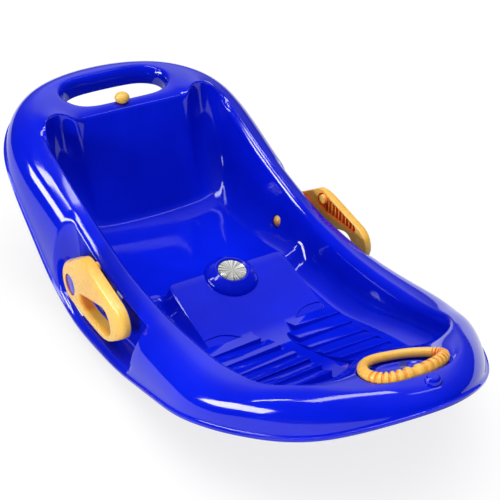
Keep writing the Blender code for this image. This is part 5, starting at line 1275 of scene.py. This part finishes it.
DISC_THICKNESS, LENS_EDGE, LENS_RISE, LENS_POWER = 0.0012, 0.0012, 0.0028, 1.4
BADGE_STEPS, LENS_STEPS = 64, 8
FOIL_RAYS, SWIRL_PER_METRE = 6.0, 120.0
bed = GAP - BADGE_DEPTH
profile = [
    (0.0, bed), (BADGE_RADIUS, bed), (BADGE_RADIUS, bed + DISC_THICKNESS), (0.0, bed + DISC_THICKNESS),
]
# Foil brushed outward from its centre: bright and dark rays
foil_look, tree = new_tree("brushed_silver_foil")
flat = Matrix.Translation((0.0, -MIDDLE_Y, 0.0)) @ badge_place()
centred = node(
    tree, "Mapping", [("Vector", node(tree, "TexCoord").outputs["Object"])],
    vector_type="TEXTURE", Location=flat.translation, Rotation=flat.to_euler(),
)
parts = node(tree, "SeparateXYZ", [("Vector", centred.outputs[0])])
around = node(tree, "Math", [(0, parts.outputs["Y"]), (1, parts.outputs["X"])], operation="ARCTAN2")
fan = node(tree, "TexNoise", [("W", around.outputs[0])], noise_dimensions="1D", Scale=FOIL_RAYS, Detail=4.0)
tone = node(tree, "ValToRGB", [("Fac", fan.outputs[0])])
for element, position, shade in zip(tone.color_ramp.elements, (0.42, 0.58), ("85847F", "F4F2EA")):
    element.position = position
    element.color = linear(shade)
bump = node(tree, "Bump", [("Height", fan.outputs[0])], Strength=0.25, Distance=0.0003)
shader = node(
    tree, "BsdfPrincipled", [("Base Color", tone.outputs[0]), ("Normal", bump.outputs[0])],
    Metallic=0.55, Roughness=0.38,
)
node(tree, "OutputMaterial", [("Surface", shader.outputs[0])])
disc = rough_piece("badge_foil", lathe(profile, badge_place(), BADGE_STEPS))
cast(disc, foil_look, "shell", ["badge_disc"])

base = bed + DISC_THICKNESS + GAP
profile = [(0.0, base), (BADGE_RADIUS, base), (BADGE_RADIUS, base + LENS_EDGE)]
for step in range(1, LENS_STEPS):
    turn = 0.5 * math.pi * step / LENS_STEPS
    profile.append((BADGE_RADIUS * math.cos(turn), base + LENS_EDGE + LENS_RISE * math.sin(turn) ** LENS_POWER))
profile.append((0.0, base + LENS_EDGE + LENS_RISE))

# Clear resin, poured as a dome: glassy, its gloss drifting in patches of 8 mm
lens_look, tree = new_tree("clear_domed_resin")
swirl = node(
    tree, "TexNoise", [("Vector", node(tree, "TexCoord").outputs["Object"])], Scale=SWIRL_PER_METRE, Detail=2.0,
)
sheen = node(tree, "MapRange", [("Value", swirl.outputs["Fac"])], To_Min=0.03, To_Max=0.07)
shader = node(
    tree, "BsdfPrincipled", [("Roughness", sheen.outputs[0])],
    Base_Color=linear("FBFCFD"), IOR=1.46, Transmission_Weight=1.0,
)
node(tree, "OutputMaterial", [("Surface", shader.outputs[0])])
dome_lens = rough_piece("badge_dome", lathe(profile, badge_place(), BADGE_STEPS))
cast(dome_lens, lens_look, "shell", ["badge_lens"])


# Knob: a flattened ball of orange polypropylene on a short stem, pressed into the deck
# between the backrest and the hand slot.

knob = rough_piece("hooking_knob", lathe(knob_profile(0.0), Matrix.Translation((KNOB_X, KNOB_Y, 0.0)), 48))
cast(knob, orange_look, "shell", ["hitch_knob"])
